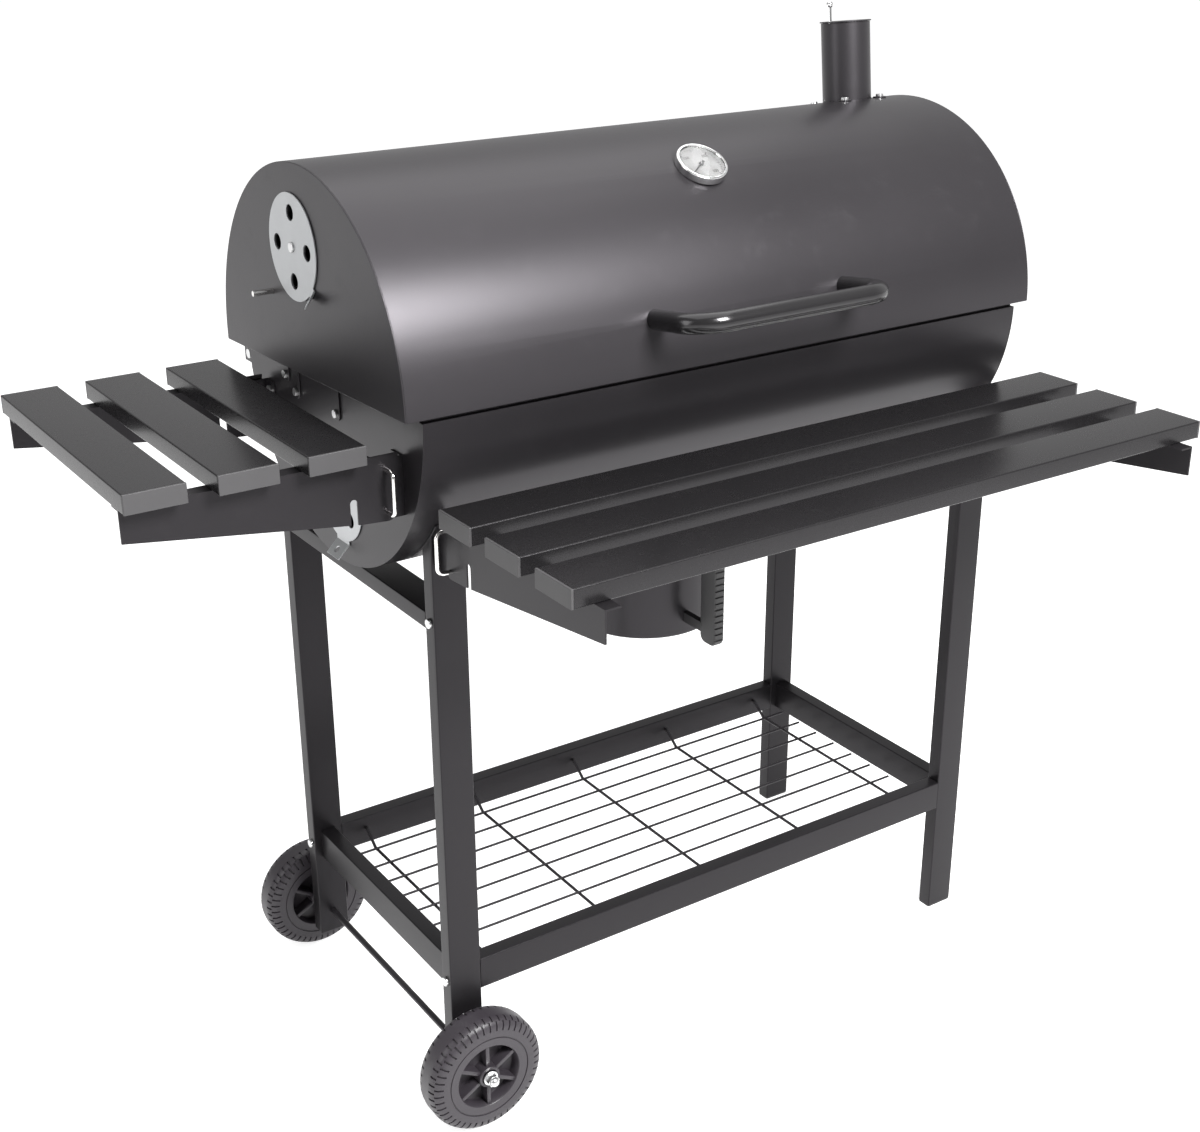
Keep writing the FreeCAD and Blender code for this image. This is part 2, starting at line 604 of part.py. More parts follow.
def wheel(y0):
    """Moulded wheel: treaded tyre, recessed web with spokes, hub boss and bore."""
    half = WHEEL_WIDTH / 2.0
    inner = WHEEL_RADIUS - TYRE_DEPTH
    mid = y0 + half
    centre = V(AXLE_X, y0, AXLE_Z)
    tyre = ring(WHEEL_RADIUS, inner, centre, V(0, 1, 0), WHEEL_WIDTH)
    outer_edges = []
    for edge in tyre.Edges:
        curve = edge.Curve
        if hasattr(curve, "Radius") and abs(curve.Radius - WHEEL_RADIUS) < 1e-6:
            outer_edges.append(edge)
    tyre = tyre.makeFillet(7.0, outer_edges)
    lugs = []
    for i in range(TREADS):
        a = 360.0 * i / TREADS
        for side in (0, 1):
            y = y0 - 1 if side == 0 else y0 + WHEEL_WIDTH - 13
            cut = box(-1.6, 1.6, y, y + 14, WHEEL_RADIUS - TREAD_DEPTH, WHEEL_RADIUS + 5)
            cut.rotate(V(0, 0, 0), V(0, 1, 0), a + 180.0 / TREADS * side)
            cut.translate(V(AXLE_X, 0, AXLE_Z))
            lugs.append(cut)
    tyre = tyre.cut(group(lugs))
    web = ring(inner + 1, HUB_RADIUS - 1, V(AXLE_X, mid - WEB_THICK / 2, AXLE_Z), V(0, 1, 0), WEB_THICK)
    hub = cyl(HUB_RADIUS, centre, V(0, 1, 0), WHEEL_WIDTH)
    parts = [tyre, web, hub]
    for i in range(SPOKES):
        spoke = box(HUB_RADIUS - 2, inner + 1, y0 + 6, y0 + WHEEL_WIDTH - 6, -3.0, 3.0)
        spoke.rotate(V(0, 0, 0), V(0, 1, 0), 360.0 * i / SPOKES + 30)
        spoke.translate(V(AXLE_X, 0, AXLE_Z))
        parts.append(spoke)
    solid = parts[0].multiFuse(parts[1:])
    return solid.cut(cyl(AXLE_RADIUS + AXLE_FIT, V(AXLE_X, y0 - 1, AXLE_Z), V(0, 1, 0), WHEEL_WIDTH + 2))


# ---------------------------------------------------------------- folding tables
def arm_profile(reach, lean):
    """Arm outline in (outward, up) from the pivot, without its rounded end."""
    tip_low = ARM_RISE - ARM_TIP_HEIGHT
    return [
        (0.0, -ARM_END_RADIUS),
        (ARM_NOTCH_AT - ARM_NOTCH_WIDTH, -ARM_END_RADIUS + 2.0),
        (reach, tip_low),
        (reach, ARM_RISE),
        (-ARM_END_RADIUS - lean, ARM_RISE),
        (-ARM_END_RADIUS, 0.0),
    ]


def local_arm(reach, lean):
    """Arm in a local frame: pivot at the origin, outward +X, flange turned to +Y."""
    points = [V(u, 0, w) for u, w in arm_profile(reach, lean)]
    plate = prism(points, V(0, ARM_THICK, 0))
    nose = cyl(ARM_END_RADIUS, V(0, 0, 0), V(0, 1, 0), ARM_THICK)
    flange = box(ARM_FLANGE_START, reach, 0, ARM_FLANGE, ARM_RISE - ARM_THICK, ARM_RISE)
    arm = fuse([plate, nose, flange])
    half = ARM_NOTCH_WIDTH / 2.0
    head_z = ARM_NOTCH_HEIGHT - ARM_END_RADIUS - half
    notch = box(ARM_NOTCH_AT - half, ARM_NOTCH_AT + half, -1, ARM_THICK + 1, -20, head_z)
    head = cyl(half, V(ARM_NOTCH_AT, -1, head_z), V(0, 1, 0), ARM_THICK + 2)
    arm = arm.cut(notch).cut(head)
    for w in (0.0, CLIP_SPACING):
        arm = arm.cut(cyl(CLIP_WIRE + CLIP_FIT, V(0, -1, w), V(0, 1, 0), ARM_THICK + 2))
    return arm


def local_bracket(back, bolt_up):
    """Fixed bracket in the arm's local frame: plate behind the arm, flange against the support."""
    y0 = ARM_THICK + BRACKET_GAP
    sheet = box(-back, BRACKET_NOSE, y0, y0 + BRACKET_THICK, -BRACKET_FOOT, BRACKET_TOP)
    lug = box(-back, -back + BRACKET_THICK, y0, y0 + BRACKET_FLANGE, -BRACKET_FOOT, BRACKET_TOP)
    solid = fuse([sheet, lug])
    solid = solid.cut(cyl(CLIP_WIRE + CLIP_FIT, V(0, y0 - 1, 0), V(0, 1, 0), BRACKET_THICK + 2))
    low = CLIP_SPACING - CLIP_WIRE - 2.0
    high = CLIP_SPACING + CLIP_WIRE + 0.6
    slot = box(-CLIP_WIRE - 0.5, BRACKET_NOSE + 1, y0 - 1, y0 + BRACKET_THICK + 1, low, high)
    start = V(-back - 1, y0 + BRACKET_FLANGE / 2.0, bolt_up)
    hole = cyl(SCREW_SHANK, start, V(1, 0, 0), BRACKET_THICK + 2)
    return solid.cut(slot).cut(hole)


def bracket_bolt(back, bolt_up, grip):
    """Bolt through the bracket flange into its support, in the arm's local frame."""
    y = ARM_THICK + BRACKET_GAP + BRACKET_FLANGE / 2.0
    head = cyl(4.5, V(BRACKET_THICK - back, y, bolt_up), V(1, 0, 0), 3.0)
    return fuse([head, cyl(SCREW_SHANK, V(-back - grip, y, bolt_up), V(1, 0, 0), grip + BRACKET_THICK)])


def local_clip():
    """U-shaped wire clip in the arm's local frame; its long leg is the pivot."""
    inner = ARM_THICK + BRACKET_GAP + BRACKET_THICK
    points = [
        V(0, inner + CLIP_TIP_LONG, 0),
        V(0, -CLIP_STAND, 0),
        V(0, -CLIP_STAND, CLIP_SPACING),
        V(0, inner + CLIP_TIP_SHORT, CLIP_SPACING),
    ]
    return bent_rod(points, CLIP_WIRE, CLIP_BEND)


def side_place(shape):
    """Local frame to the front side-table arm: outward is -X, plate faces -Y."""
    shape = shape.mirror(V(0, 0, 0), V(1, 0, 0))
    shape.translate(V(SIDE_PIVOT.x, -SIDE_ARM_Y, SIDE_PIVOT.z))
    return shape


def front_place(shape):
    """Local frame to the left front-table arm: outward is -Y, plate faces -X."""
    turned = shape.copy()
    turned.rotate(V(0, 0, 0), V(0, 0, 1), -90)
    turned.translate(V(FRONT_ARM_X[0], FRONT_PIVOT.y, FRONT_PIVOT.z))
    return turned


def slat_screws(spots):
    """Pan screws up through the arm flanges into the slats."""
    screws = []
    for x, y, z in spots:
        head = cyl(SCREW_HEAD, V(x, y, z - ARM_THICK - 2.4), V(0, 0, 1), 2.4)
        shank = cyl(SCREW_SHANK, V(x, y, z - ARM_THICK), V(0, 0, 1), ARM_THICK + SLAT_WALL + 4)
        screws.append(fuse([head, shank]))
    return group(screws)


def drill(shape, spots):
    holes = [cyl(SCREW_SHANK, V(x, y, z - 10), V(0, 0, 1), 10 + SLAT_WALL + 4) for x, y, z in spots]
    return shape.cut(group(holes))


def flange_mid():
    return ARM_FLANGE * 0.6


def side_screw_spots():
    spots = []
    for i in range(3):
        x = SIDE_PIVOT.x - SIDE_SLAT_INNER - SLAT_WIDTH / 2.0 - i * SIDE_SLAT_PITCH
        for y in (-SIDE_ARM_Y + flange_mid(), SIDE_ARM_Y - flange_mid()):
            spots.append((x, y, SIDE_SLAT_TOP - SLAT_THICK))
    return spots


def front_screw_spots():
    spots = []
    for i in range(3):
        y = FRONT_PIVOT.y - FRONT_SLAT_INNER - SLAT_WIDTH / 2.0 - i * FRONT_SLAT_PITCH
        for x in (FRONT_ARM_X[0] + flange_mid(), FRONT_ARM_X[1] - flange_mid()):
            spots.append((x, y, FRONT_SLAT_TOP - SLAT_THICK))
    return spots


def slat_cap(x0, x1, y0, y1, z0, z1, axis, sign):
    """End cap: a plate the size of the slat section plus a plug inside the tube."""
    w = SLAT_WALL
    if axis == "x":
        face = x0 if sign < 0 else x1
        tip = sorted((face, face + sign * SLAT_CAP))
        root = sorted((face, face - sign * SLAT_PLUG))
        plate = box(tip[0], tip[1], y0, y1, z0, z1)
        plug = box(root[0], root[1], y0 + w, y1 - w, z0 + w, z1 - w)
    else:
        face = y0 if sign < 0 else y1
        tip = sorted((face, face + sign * SLAT_CAP))
        root = sorted((face, face - sign * SLAT_PLUG))
        plate = box(x0, x1, tip[0], tip[1], z0, z1)
        plug = box(x0 + w, x1 - w, root[0], root[1], z0 + w, z1 - w)
    return fuse([plate, plug])


def side_slat_boxes():
    """Bounds of each side-table slat tube."""
    boxes = []
    half = SIDE_SLAT_LENGTH / 2.0 - SLAT_CAP
    for i in range(3):
        x1 = SIDE_PIVOT.x - SIDE_SLAT_INNER - i * SIDE_SLAT_PITCH
        boxes.append((x1 - SLAT_WIDTH, x1, -half, half, SIDE_SLAT_TOP - SLAT_THICK, SIDE_SLAT_TOP))
    return boxes


def front_slat_boxes():
    boxes = []
    x0 = FRONT_SLAT_LEFT + SLAT_CAP
    x1 = FRONT_SLAT_LEFT + FRONT_SLAT_LENGTH - SLAT_CAP
    for i in range(3):
        y1 = FRONT_PIVOT.y - FRONT_SLAT_INNER - i * FRONT_SLAT_PITCH
        boxes.append((x0, x1, y1 - SLAT_WIDTH, y1, FRONT_SLAT_TOP - SLAT_THICK, FRONT_SLAT_TOP))
    return boxes


def slats(boxes, axis, spots):
    return group([drill(square_tube(*b, SLAT_WALL, axis), spots) for b in boxes])


def slat_caps(boxes, axis):
    return group([slat_cap(*b, axis, sign) for b in boxes for sign in (-1, 1)])


def side_arms():
    arm = drill(side_place(local_arm(SIDE_ARM_REACH, SIDE_ARM_LEAN)), side_screw_spots())
    return group([arm, mirror_y(arm)])


def front_arms():
    arm = drill(front_place(local_arm(FRONT_ARM_REACH, FRONT_ARM_LEAN)), front_screw_spots())
    return group([arm, mirror_x(arm, STAND_ARM_MID)])


def side_brackets():
    bracket = side_place(local_bracket(SIDE_PIVOT_OUT, BRACKET_BOLT_UP))
    return group([bracket, mirror_y(bracket)])


def front_brackets():
    bracket = front_place(local_bracket(FRONT_PIVOT_OUT, FRONT_BRACKET_BOLT_UP))
    saddle = cyl(BOWL_RADIUS + SADDLE_THICK, V(BOWL_LEFT, 0, BOWL_Z), V(1, 0, 0), BOWL_LENGTH)
    bracket = bracket.cut(saddle)
    return group([bracket, mirror_x(bracket, STAND_ARM_MID)])


def bracket_bolts():
    side = side_place(bracket_bolt(SIDE_PIVOT_OUT, BRACKET_BOLT_UP, SHEET + 3.0))
    front = front_place(bracket_bolt(FRONT_PIVOT_OUT, FRONT_BRACKET_BOLT_UP, LEG_WALL + 4.0))
    return [side, mirror_y(side), front, mirror_x(front, STAND_ARM_MID)]


# ---------------------------------------------------------------- lid
def below_lid(x, length):
    """Space under the lid's lower edge, which falls a little towards the rear."""
    block = box(x - 1, x + length + 1, -50, 2 * LID_RADIUS + 50, -400, 0)
    fall = math.degrees(math.atan2(LID_REAR_DROP, 2 * LID_RADIUS))
    block.rotate(V(0, 0, 0), V(1, 0, 0), -fall)
    block.translate(V(0, -LID_RADIUS, LID_AXIS_Z))
    return block


def lid_shell():
    """Rolled upper half of the barrel, pierced for the chimney and the gauge stem."""
    x0 = SHEET
    length = LID_LENGTH - 2 * SHEET
    shell = ring(LID_RADIUS, LID_RADIUS - SHEET, V(x0, 0, LID_AXIS_Z), V(1, 0, 0), length)
    shell = shell.cut(below_lid(x0, length))
    flue = cyl(CHIMNEY_RADIUS - SHEET, CHIMNEY_FOOT - CHIMNEY_DIR * 40, CHIMNEY_DIR, 80)
    stem = cyl(4.0, GAUGE_POS - GAUGE_DIR * 10, GAUGE_DIR, 20)
    shell = shell.cut(flue).cut(stem)
    for spot in handle_feet():
        out = handle_dir()
        shell = shell.cut(cyl(SCREW_SHANK, spot - out * 10, out, 20))
    for spot, out in chimney_bolt_spots():
        shell = shell.cut(cyl(SCREW_SHANK, spot - out * 8, out, 16))
    return shell


def lid_end(x, left):
    plate = cyl(LID_RADIUS, V(x, 0, LID_AXIS_Z), V(1, 0, 0), SHEET).cut(below_lid(x, SHEET))
    rod = cyl(RACK_WIRE + PIN_FIT, V(x - 1, RACK_PIVOT_BACK, RACK_PIVOT_Z), V(1, 0, 0), SHEET + 2)
    plate = plate.cut(rod)
    if left:
        for i in range(4):
            a = math.radians(90 * i)
            y = VENT_BACK + VENT_HOLE_CIRCLE * math.cos(a)
            z = VENT_Z + VENT_HOLE_CIRCLE * math.sin(a)
            plate = plate.cut(cyl(VENT_HOLE_RADIUS, V(x - 1, y, z), V(1, 0, 0), SHEET + 2))
        plate = plate.cut(cyl(RIVET_RADIUS, V(x - 1, VENT_BACK, VENT_Z), V(1, 0, 0), SHEET + 2))
    return plate


def forward_up(angle):
    """Unit vector leaning up from the forward direction by an angle in degrees."""
    a = math.radians(angle)
    return V(0, -math.cos(a), math.sin(a))


def handle_dir():
    return forward_up(HANDLE_LEG_ANGLE)


def handle_feet():
    base = V(0, 0, LID_AXIS_Z) + forward_up(HANDLE_ANGLE) * LID_RADIUS
    half = HANDLE_SPAN / 2.0
    return [base + V(HANDLE_CENTRE_X - half, 0, 0), base + V(HANDLE_CENTRE_X + half, 0, 0)]


def lid_handle():
    """Bent round bar whose ends stand on the lid."""
    out = handle_dir()
    feet = handle_feet()
    left, right = feet
    points = [left - out * 4, left + out * HANDLE_STAND, right + out * HANDLE_STAND, right - out * 4]
    bar = bent_rod(points, HANDLE_TUBE, HANDLE_BEND)
    lid = cyl(LID_RADIUS, V(0, 0, LID_AXIS_Z), V(1, 0, 0), LID_LENGTH)
    bar = bar.cut(lid)
    for foot in feet:
        bar = bar.cut(cyl(SCREW_SHANK, foot - out * 6, out, 16))
    return bar


def handle_screws():
    out = handle_dir()
    screws = []
    for foot in handle_feet():
        inside = foot - out * (SHEET + 0.3)
        head = cyl(5.0, inside - out * 3, out, 3)
        shank = cyl(SCREW_SHANK, inside - out, out, 11)
        screws.append(fuse([head, shank]).cut(lid_sheet_near(foot, out)))
    return screws


def lid_sheet_near(spot, out):
    """Lid sheet round a fastener, used to seat heads on the curved wall."""
    x0 = spot.x - 20
    sheet = ring(LID_RADIUS, LID_RADIUS - SHEET, V(x0, 0, LID_AXIS_Z), V(1, 0, 0), 40)
    return sheet.cut(cyl(SCREW_SHANK, spot - out * 20, out, 40))


def lid_normal(spot):
    return V(0, spot.y, spot.z - LID_AXIS_Z).normalize()


def vent_disc(x, y, z, radius, circle, hole, first, tab_angle, tab_width, tab_length, tab_hole):
    """Rotating air disc with four holes and a bent finger tab."""
    disc = cyl(radius, V(x, y, z), V(-1, 0, 0), DISC_THICK)
    tab = box(x - DISC_THICK, x, -tab_width / 2, tab_width / 2, radius - 6, radius + 4)
    lift = box(-DISC_THICK, 0, -tab_width / 2, tab_width / 2, 0, tab_length)
    if tab_hole > 0:
        lift = lift.cut(cyl(tab_hole, V(-5, 0, tab_length * 0.55), V(1, 0, 0), 10))
    lift.rotate(V(0, 0, 0), V(0, 1, 0), -45)
    lift.translate(V(x - 0.2, 0, radius + 3.2))
    tab = fuse([tab, lift])
    tab.rotate(V(x, 0, 0), V(1, 0, 0), tab_angle)
    tab.translate(V(0, y, z))
    body = fuse([disc, tab])
    for i in range(4):
        a = math.radians(first + 90 * i)
        centre = V(x + 1, y + circle * math.cos(a), z + circle * math.sin(a))
        body = body.cut(cyl(hole, centre, V(-1, 0, 0), DISC_THICK + 2))
    return body.cut(cyl(RIVET_RADIUS + PIN_FIT, V(x + 1, y, z), V(-1, 0, 0), DISC_THICK + 2))


def vent():
    return vent_disc(VENT_X, VENT_BACK, VENT_Z, VENT_RADIUS, VENT_HOLE_CIRCLE, VENT_HOLE_RADIUS,
                     0.0, 135.0, 14.0, 16.0, 0.0)


def damper():
    return vent_disc(DAMPER_X, DAMPER_BACK, DAMPER_Z, DAMPER_RADIUS, DAMPER_HOLE_CIRCLE, DAMPER_HOLE_RADIUS,
                     45.0, 180.0, 28.0, 20.0, 4.0)


def disc_rivet(plate_x, y, z):
    """Rivet through an end plate that a vent disc turns on."""
    x0 = plate_x - DISC_GAP - DISC_THICK - 0.4
    shank = cyl(RIVET_RADIUS, V(x0, y, z), V(1, 0, 0), plate_x + SHEET + 1 - x0)
    head = cyl(5.5, V(x0, y, z), V(-1, 0, 0), 1.8)
    head = head.makeFillet(1.0, [e for e in head.Edges if e.CenterOfMass.x < x0 - 1])
    tail = ring(5.0, RIVET_RADIUS - 0.5, V(plate_x + SHEET, y, z), V(1, 0, 0), 1.5)
    return fuse([head, shank, tail])


def gauge_local(shape):
    """Place a shape built on the gauge axis (+Z) onto the lid."""
    placed = shape.copy()
    placed.rotate(V(0, 0, 0), V(1, 0, 0), 90 - GAUGE_ANGLE)
    placed.translate(GAUGE_POS)
    return placed


def gauge_case():
    cup = cyl(GAUGE_RADIUS, V(0, 0, 0.2), V(0, 0, 1), GAUGE_HEIGHT - 0.2)
    cup = cup.makeFillet(1.5, [e for e in cup.Edges if e.CenterOfMass.z > GAUGE_HEIGHT - 0.1])
    cup = cup.cut(cyl(GAUGE_RADIUS - 3.0, V(0, 0, 2), V(0, 0, 1), GAUGE_HEIGHT))
    stem = cyl(4.0, V(0, 0, -40), V(0, 0, 1), 41)
    nut = cyl(8.0, V(0, 0, -7), V(0, 0, 1), 5.0)
    pin = cyl(1.0, V(0, 0, 1), V(0, 0, 1), 3.8)
    placed = gauge_local(fuse([cup, stem, nut, pin]))
    return placed.cut(lid_sheet_ring())


def lid_sheet_ring():
    """Lid sheet without the gauge hole, to trim the gauge nut to the curved wall."""
    sheet = ring(LID_RADIUS, LID_RADIUS - SHEET, V(GAUGE_X - 40, 0, LID_AXIS_Z), V(1, 0, 0), 80)
    return sheet.cut(cyl(4.0, GAUGE_POS - GAUGE_DIR * 20, GAUGE_DIR, 40))


def gauge_dial():
    return gauge_local(ring(GAUGE_RADIUS - 3.0, 1.0, V(0, 0, 2), V(0, 0, 1), 0.6))


def gauge_glass():
    return gauge_local(cyl(GAUGE_RADIUS - 3.0, V(0, 0, 6), V(0, 0, 1), 1.4))


def gauge_needle():
    bar = prism([V(-7, -1.4, 3.2), V(20, -0.4, 3.2), V(20, 0.4, 3.2), V(-7, 1.4, 3.2)], V(0, 0, 0.6))
    hub = cyl(2.6, V(0, 0, 3.2), V(0, 0, 1), 1.0)
    needle = fuse([bar, hub]).cut(cyl(1.0 + PIN_FIT, V(0, 0, 3), V(0, 0, 1), 2))
    needle.rotate(V(0, 0, 0), V(0, 0, 1), 215)
    return gauge_local(needle)


def chimney_bolt_spots():
    """Bolt seats round the chimney foot: point on the lid and outward normal."""
    spots = []
    for i in range(4):
        a = math.radians(45 + 90 * i)
        x = CHIMNEY_X + CHIMNEY_BOLT_RADIUS * math.cos(a)
        y = CHIMNEY_BACK + CHIMNEY_BOLT_RADIUS * math.sin(a)
        z = LID_AXIS_Z + math.sqrt(LID_RADIUS ** 2 - y ** 2)
        spots.append((V(x, y, z), lid_normal(V(x, y, z))))
    return spots


def chimney():
    """Flue tube with four bolted feet that follow the lid."""
    start = CHIMNEY_FOOT - CHIMNEY_DIR * 30
    outer = cyl(CHIMNEY_RADIUS, start, CHIMNEY_DIR, CHIMNEY_HEIGHT + 30)
    inner = cyl(CHIMNEY_RADIUS - SHEET, start, CHIMNEY_DIR, CHIMNEY_HEIGHT + 30)
    feet = ring(LID_RADIUS + SHEET, LID_RADIUS, V(CHIMNEY_X - 60, 0, LID_AXIS_Z), V(1, 0, 0), 120)
    pads = []
    for spot, out in chimney_bolt_spots():
        pads.append(cyl(8.0, spot - out * 10, out, 20))
    feet = feet.common(group(pads)).cut(inner)
    boss = cyl(5.0, CAP_PIN - CHIMNEY_DIR * 14, CHIMNEY_DIR, 14)
    web = box(-40, 0, -3, 3, -12, -2)
    web.rotate(V(0, 0, 0), V(1, 0, 0), -CHIMNEY_LEAN)
    web.translate(CAP_PIN)
    bracket = fuse([boss, web]).common(outer)
    lid = cyl(LID_RADIUS, V(0, 0, LID_AXIS_Z), V(1, 0, 0), LID_LENGTH)
    tube = outer.cut(inner).cut(lid)
    solid = tube.multiFuse([bracket] + feet.Solids)
    for spot, out in chimney_bolt_spots():
        solid = solid.cut(cyl(SCREW_SHANK, spot - out * 10, out, 20))
    return solid.cut(cyl(CAP_PIN_RADIUS, CAP_PIN - CHIMNEY_DIR * 20, CHIMNEY_DIR, 30))


def chimney_bolts():
    bolts = []
    for spot, out in chimney_bolt_spots():
        head = cyl(4.6, spot + out * (SHEET + 0.02), out, 3.0)
        bolts.append(fuse([head, cyl(SCREW_SHANK, spot - out * 6, out, 9)]))
    tube = cyl(CHIMNEY_RADIUS, CHIMNEY_FOOT - CHIMNEY_DIR * 40, CHIMNEY_DIR, 80)
    return group([b.cut(tube) for b in bolts])


def cap_pin():
    """Pin in the flue mouth that the cap swings on, with a ball knob."""
    rod = cyl(CAP_PIN_RADIUS, CAP_PIN - CHIMNEY_DIR * 16, CHIMNEY_DIR, 16 + CAP_PIN_RISE - 2)
    ball = Part.makeSphere(4.0, CAP_PIN + CHIMNEY_DIR * CAP_PIN_RISE)
    return fuse([rod, ball])


def chimney_cap():
    """Flat round cap lying just above the flue mouth."""
    top = CHIMNEY_FOOT + CHIMNEY_DIR * (CHIMNEY_HEIGHT + CAP_GAP)
    disc = cyl(CAP_RADIUS, top, CHIMNEY_DIR, SHEET)
    return disc.cut(cyl(CAP_PIN_RADIUS + PIN_FIT, CAP_PIN - CHIMNEY_DIR, CHIMNEY_DIR, 6))


# ---------------------------------------------------------------- hinges
def lid_leaves():
    """Hinge leaves that hug the lid's rear wall and reach down to the pins."""
    leaves = []
    for x in HINGE_X:
        x0 = x - LEAF_WIDTH / 2.0
        root = LID_RADIUS - 16.0
        top = LID_AXIS_Z + LEAF_RISE
        outline = [
            V(x0, root, LID_AXIS_Z + 1),
            V(x0, root, top),
            V(x0, LID_RADIUS, top),
            V(x0, HINGE_OUT + LEAF_BACK, HINGE_Z + 2 * LEAF_FOOT),
            V(x0, HINGE_OUT + LEAF_BACK, HINGE_Z - LEAF_FOOT),
            V(x0, HINGE_OUT - 8, HINGE_Z - LEAF_FOOT),
            V(x0, HINGE_OUT - 8, LID_AXIS_Z + 1),
        ]
        strip = prism(outline, V(LEAF_WIDTH, 0, 0))
        strip = strip.cut(cyl(LID_RADIUS, V(x0 - 1, 0, LID_AXIS_Z), V(1, 0, 0), LEAF_WIDTH + 2))
        eye = cyl(8, V(x0, HINGE_OUT, HINGE_Z), V(1, 0, 0), LEAF_WIDTH)
        leaf = fuse([strip, eye])
        start = V(x0 - 1, HINGE_OUT, HINGE_Z)
        leaves.append(leaf.cut(cyl(HINGE_PIN_RADIUS + PIN_FIT, start, V(1, 0, 0), LEAF_WIDTH + 2)))
    return group(leaves)


def hinge_brackets():
    """Two-ear brackets on the bowl's rear wall."""
    brackets = []
    for x in HINGE_X:
        ears = []
        for sign in (-1, 1):
            inner = x + sign * (LEAF_WIDTH / 2.0 + LEAF_GAP)
            outer = inner + sign * 3.0
            left, right = sorted((inner, outer))
            ear = box(left, right, BOWL_RADIUS - 12, HINGE_OUT, HINGE_Z - 18, HINGE_Z + 8)
            tip = cyl(8, V(left, HINGE_OUT, HINGE_Z), V(1, 0, 0), 3.0)
            ears.append(fuse([ear, tip]))
        width = LEAF_WIDTH / 2.0 + LEAF_GAP + 3.0
        base = box(x - width, x + width, BOWL_RADIUS - 14, BOWL_RADIUS + 3, HINGE_Z - 18, HINGE_Z - 8)
        solid = fuse(ears + [base])
        solid = solid.cut(cyl(BOWL_RADIUS, V(BOWL_LEFT, 0, BOWL_Z), V(1, 0, 0), BOWL_LENGTH))
        brackets.append(solid.cut(cyl(HINGE_PIN_RADIUS, V(x - 20, HINGE_OUT, HINGE_Z), V(1, 0, 0), 40)))
    return group(brackets)


def hinge_pins():
    pins = []
    for x in HINGE_X:
        width = LEAF_WIDTH / 2.0 + LEAF_GAP + 3.0
        rod = cyl(HINGE_PIN_RADIUS, V(x - width, HINGE_OUT, HINGE_Z), V(1, 0, 0), 2 * width)
        head = cyl(5.5, V(x - width - 3.5, HINGE_OUT, HINGE_Z), V(1, 0, 0), 3.5)
        nut = cyl(5.5, V(x + width, HINGE_OUT, HINGE_Z), V(1, 0, 0), 4.0)
        pins.append(fuse([rod, head, nut]))
    return pins


# ---------------------------------------------------------------- warming rack
def rack_loop(x, z):
    """Wire from the rod down round the rack's depth and back up to the rod."""
    head = V(x, RACK_PIVOT_BACK, RACK_PIVOT_Z)
    points = [
        head + V(0, -1.5, 0),
        V(x, RACK_PIVOT_BACK - RACK_HALF_DEPTH, z),
        V(x, RACK_PIVOT_BACK + RACK_HALF_DEPTH, z),
        head + V(0, 1.5, 0),
    ]
    return bent_rod(points, RACK_BAR_WIRE, RACK_LOOP_BEND)


def warming_rack():
    """Hanging wire rack on a rod through both lid ends."""
    rod = cyl(RACK_WIRE, V(-23, RACK_PIVOT_BACK, RACK_PIVOT_Z), V(1, 0, 0), LID_LENGTH + 23 + 10)
    x0 = 40.0
    x1 = LID_LENGTH - 40.0
    z = RACK_PIVOT_Z - RACK_DROP
    rods = [rod, rack_loop(x0, z), rack_loop(x1, z)]
    for i in range(RACK_BARS):
        y = RACK_PIVOT_BACK + RACK_BAR_PITCH * (i - (RACK_BARS - 1) / 2.0)
        rods.append(cyl(RACK_BAR_WIRE, V(x0 - 4, y, z + 1.6 * RACK_BAR_WIRE), V(1, 0, 0), x1 - x0 + 8))
    tie = RACK_BAR_PITCH * (RACK_BARS - 1) / 2.0 + 4.0
    middle = V((x0 + x1) / 2.0, RACK_PIVOT_BACK - tie, z)
    rods.append(cyl(RACK_BAR_WIRE, middle, V(0, 1, 0), 2 * tie))
    return rods[0].multiFuse(rods[1:])


# ---------------------------------------------------------------- ash can
def ash_can():
    """Drawn round can that drops straight down out of its collar."""
    cup = cyl(ASH_RADIUS, V(ASH_X, 0, ASH_BOTTOM), V(0, 0, 1), ASH_TOP - ASH_BOTTOM)
    cup = cup.makeFillet(4.0, [e for e in cup.Edges if abs(e.CenterOfMass.z - ASH_BOTTOM) < 0.1])
    return cup.cut(cyl(ASH_RADIUS - SHEET, V(ASH_X, 0, ASH_BOTTOM + SHEET + 1), V(0, 0, 1), 300))


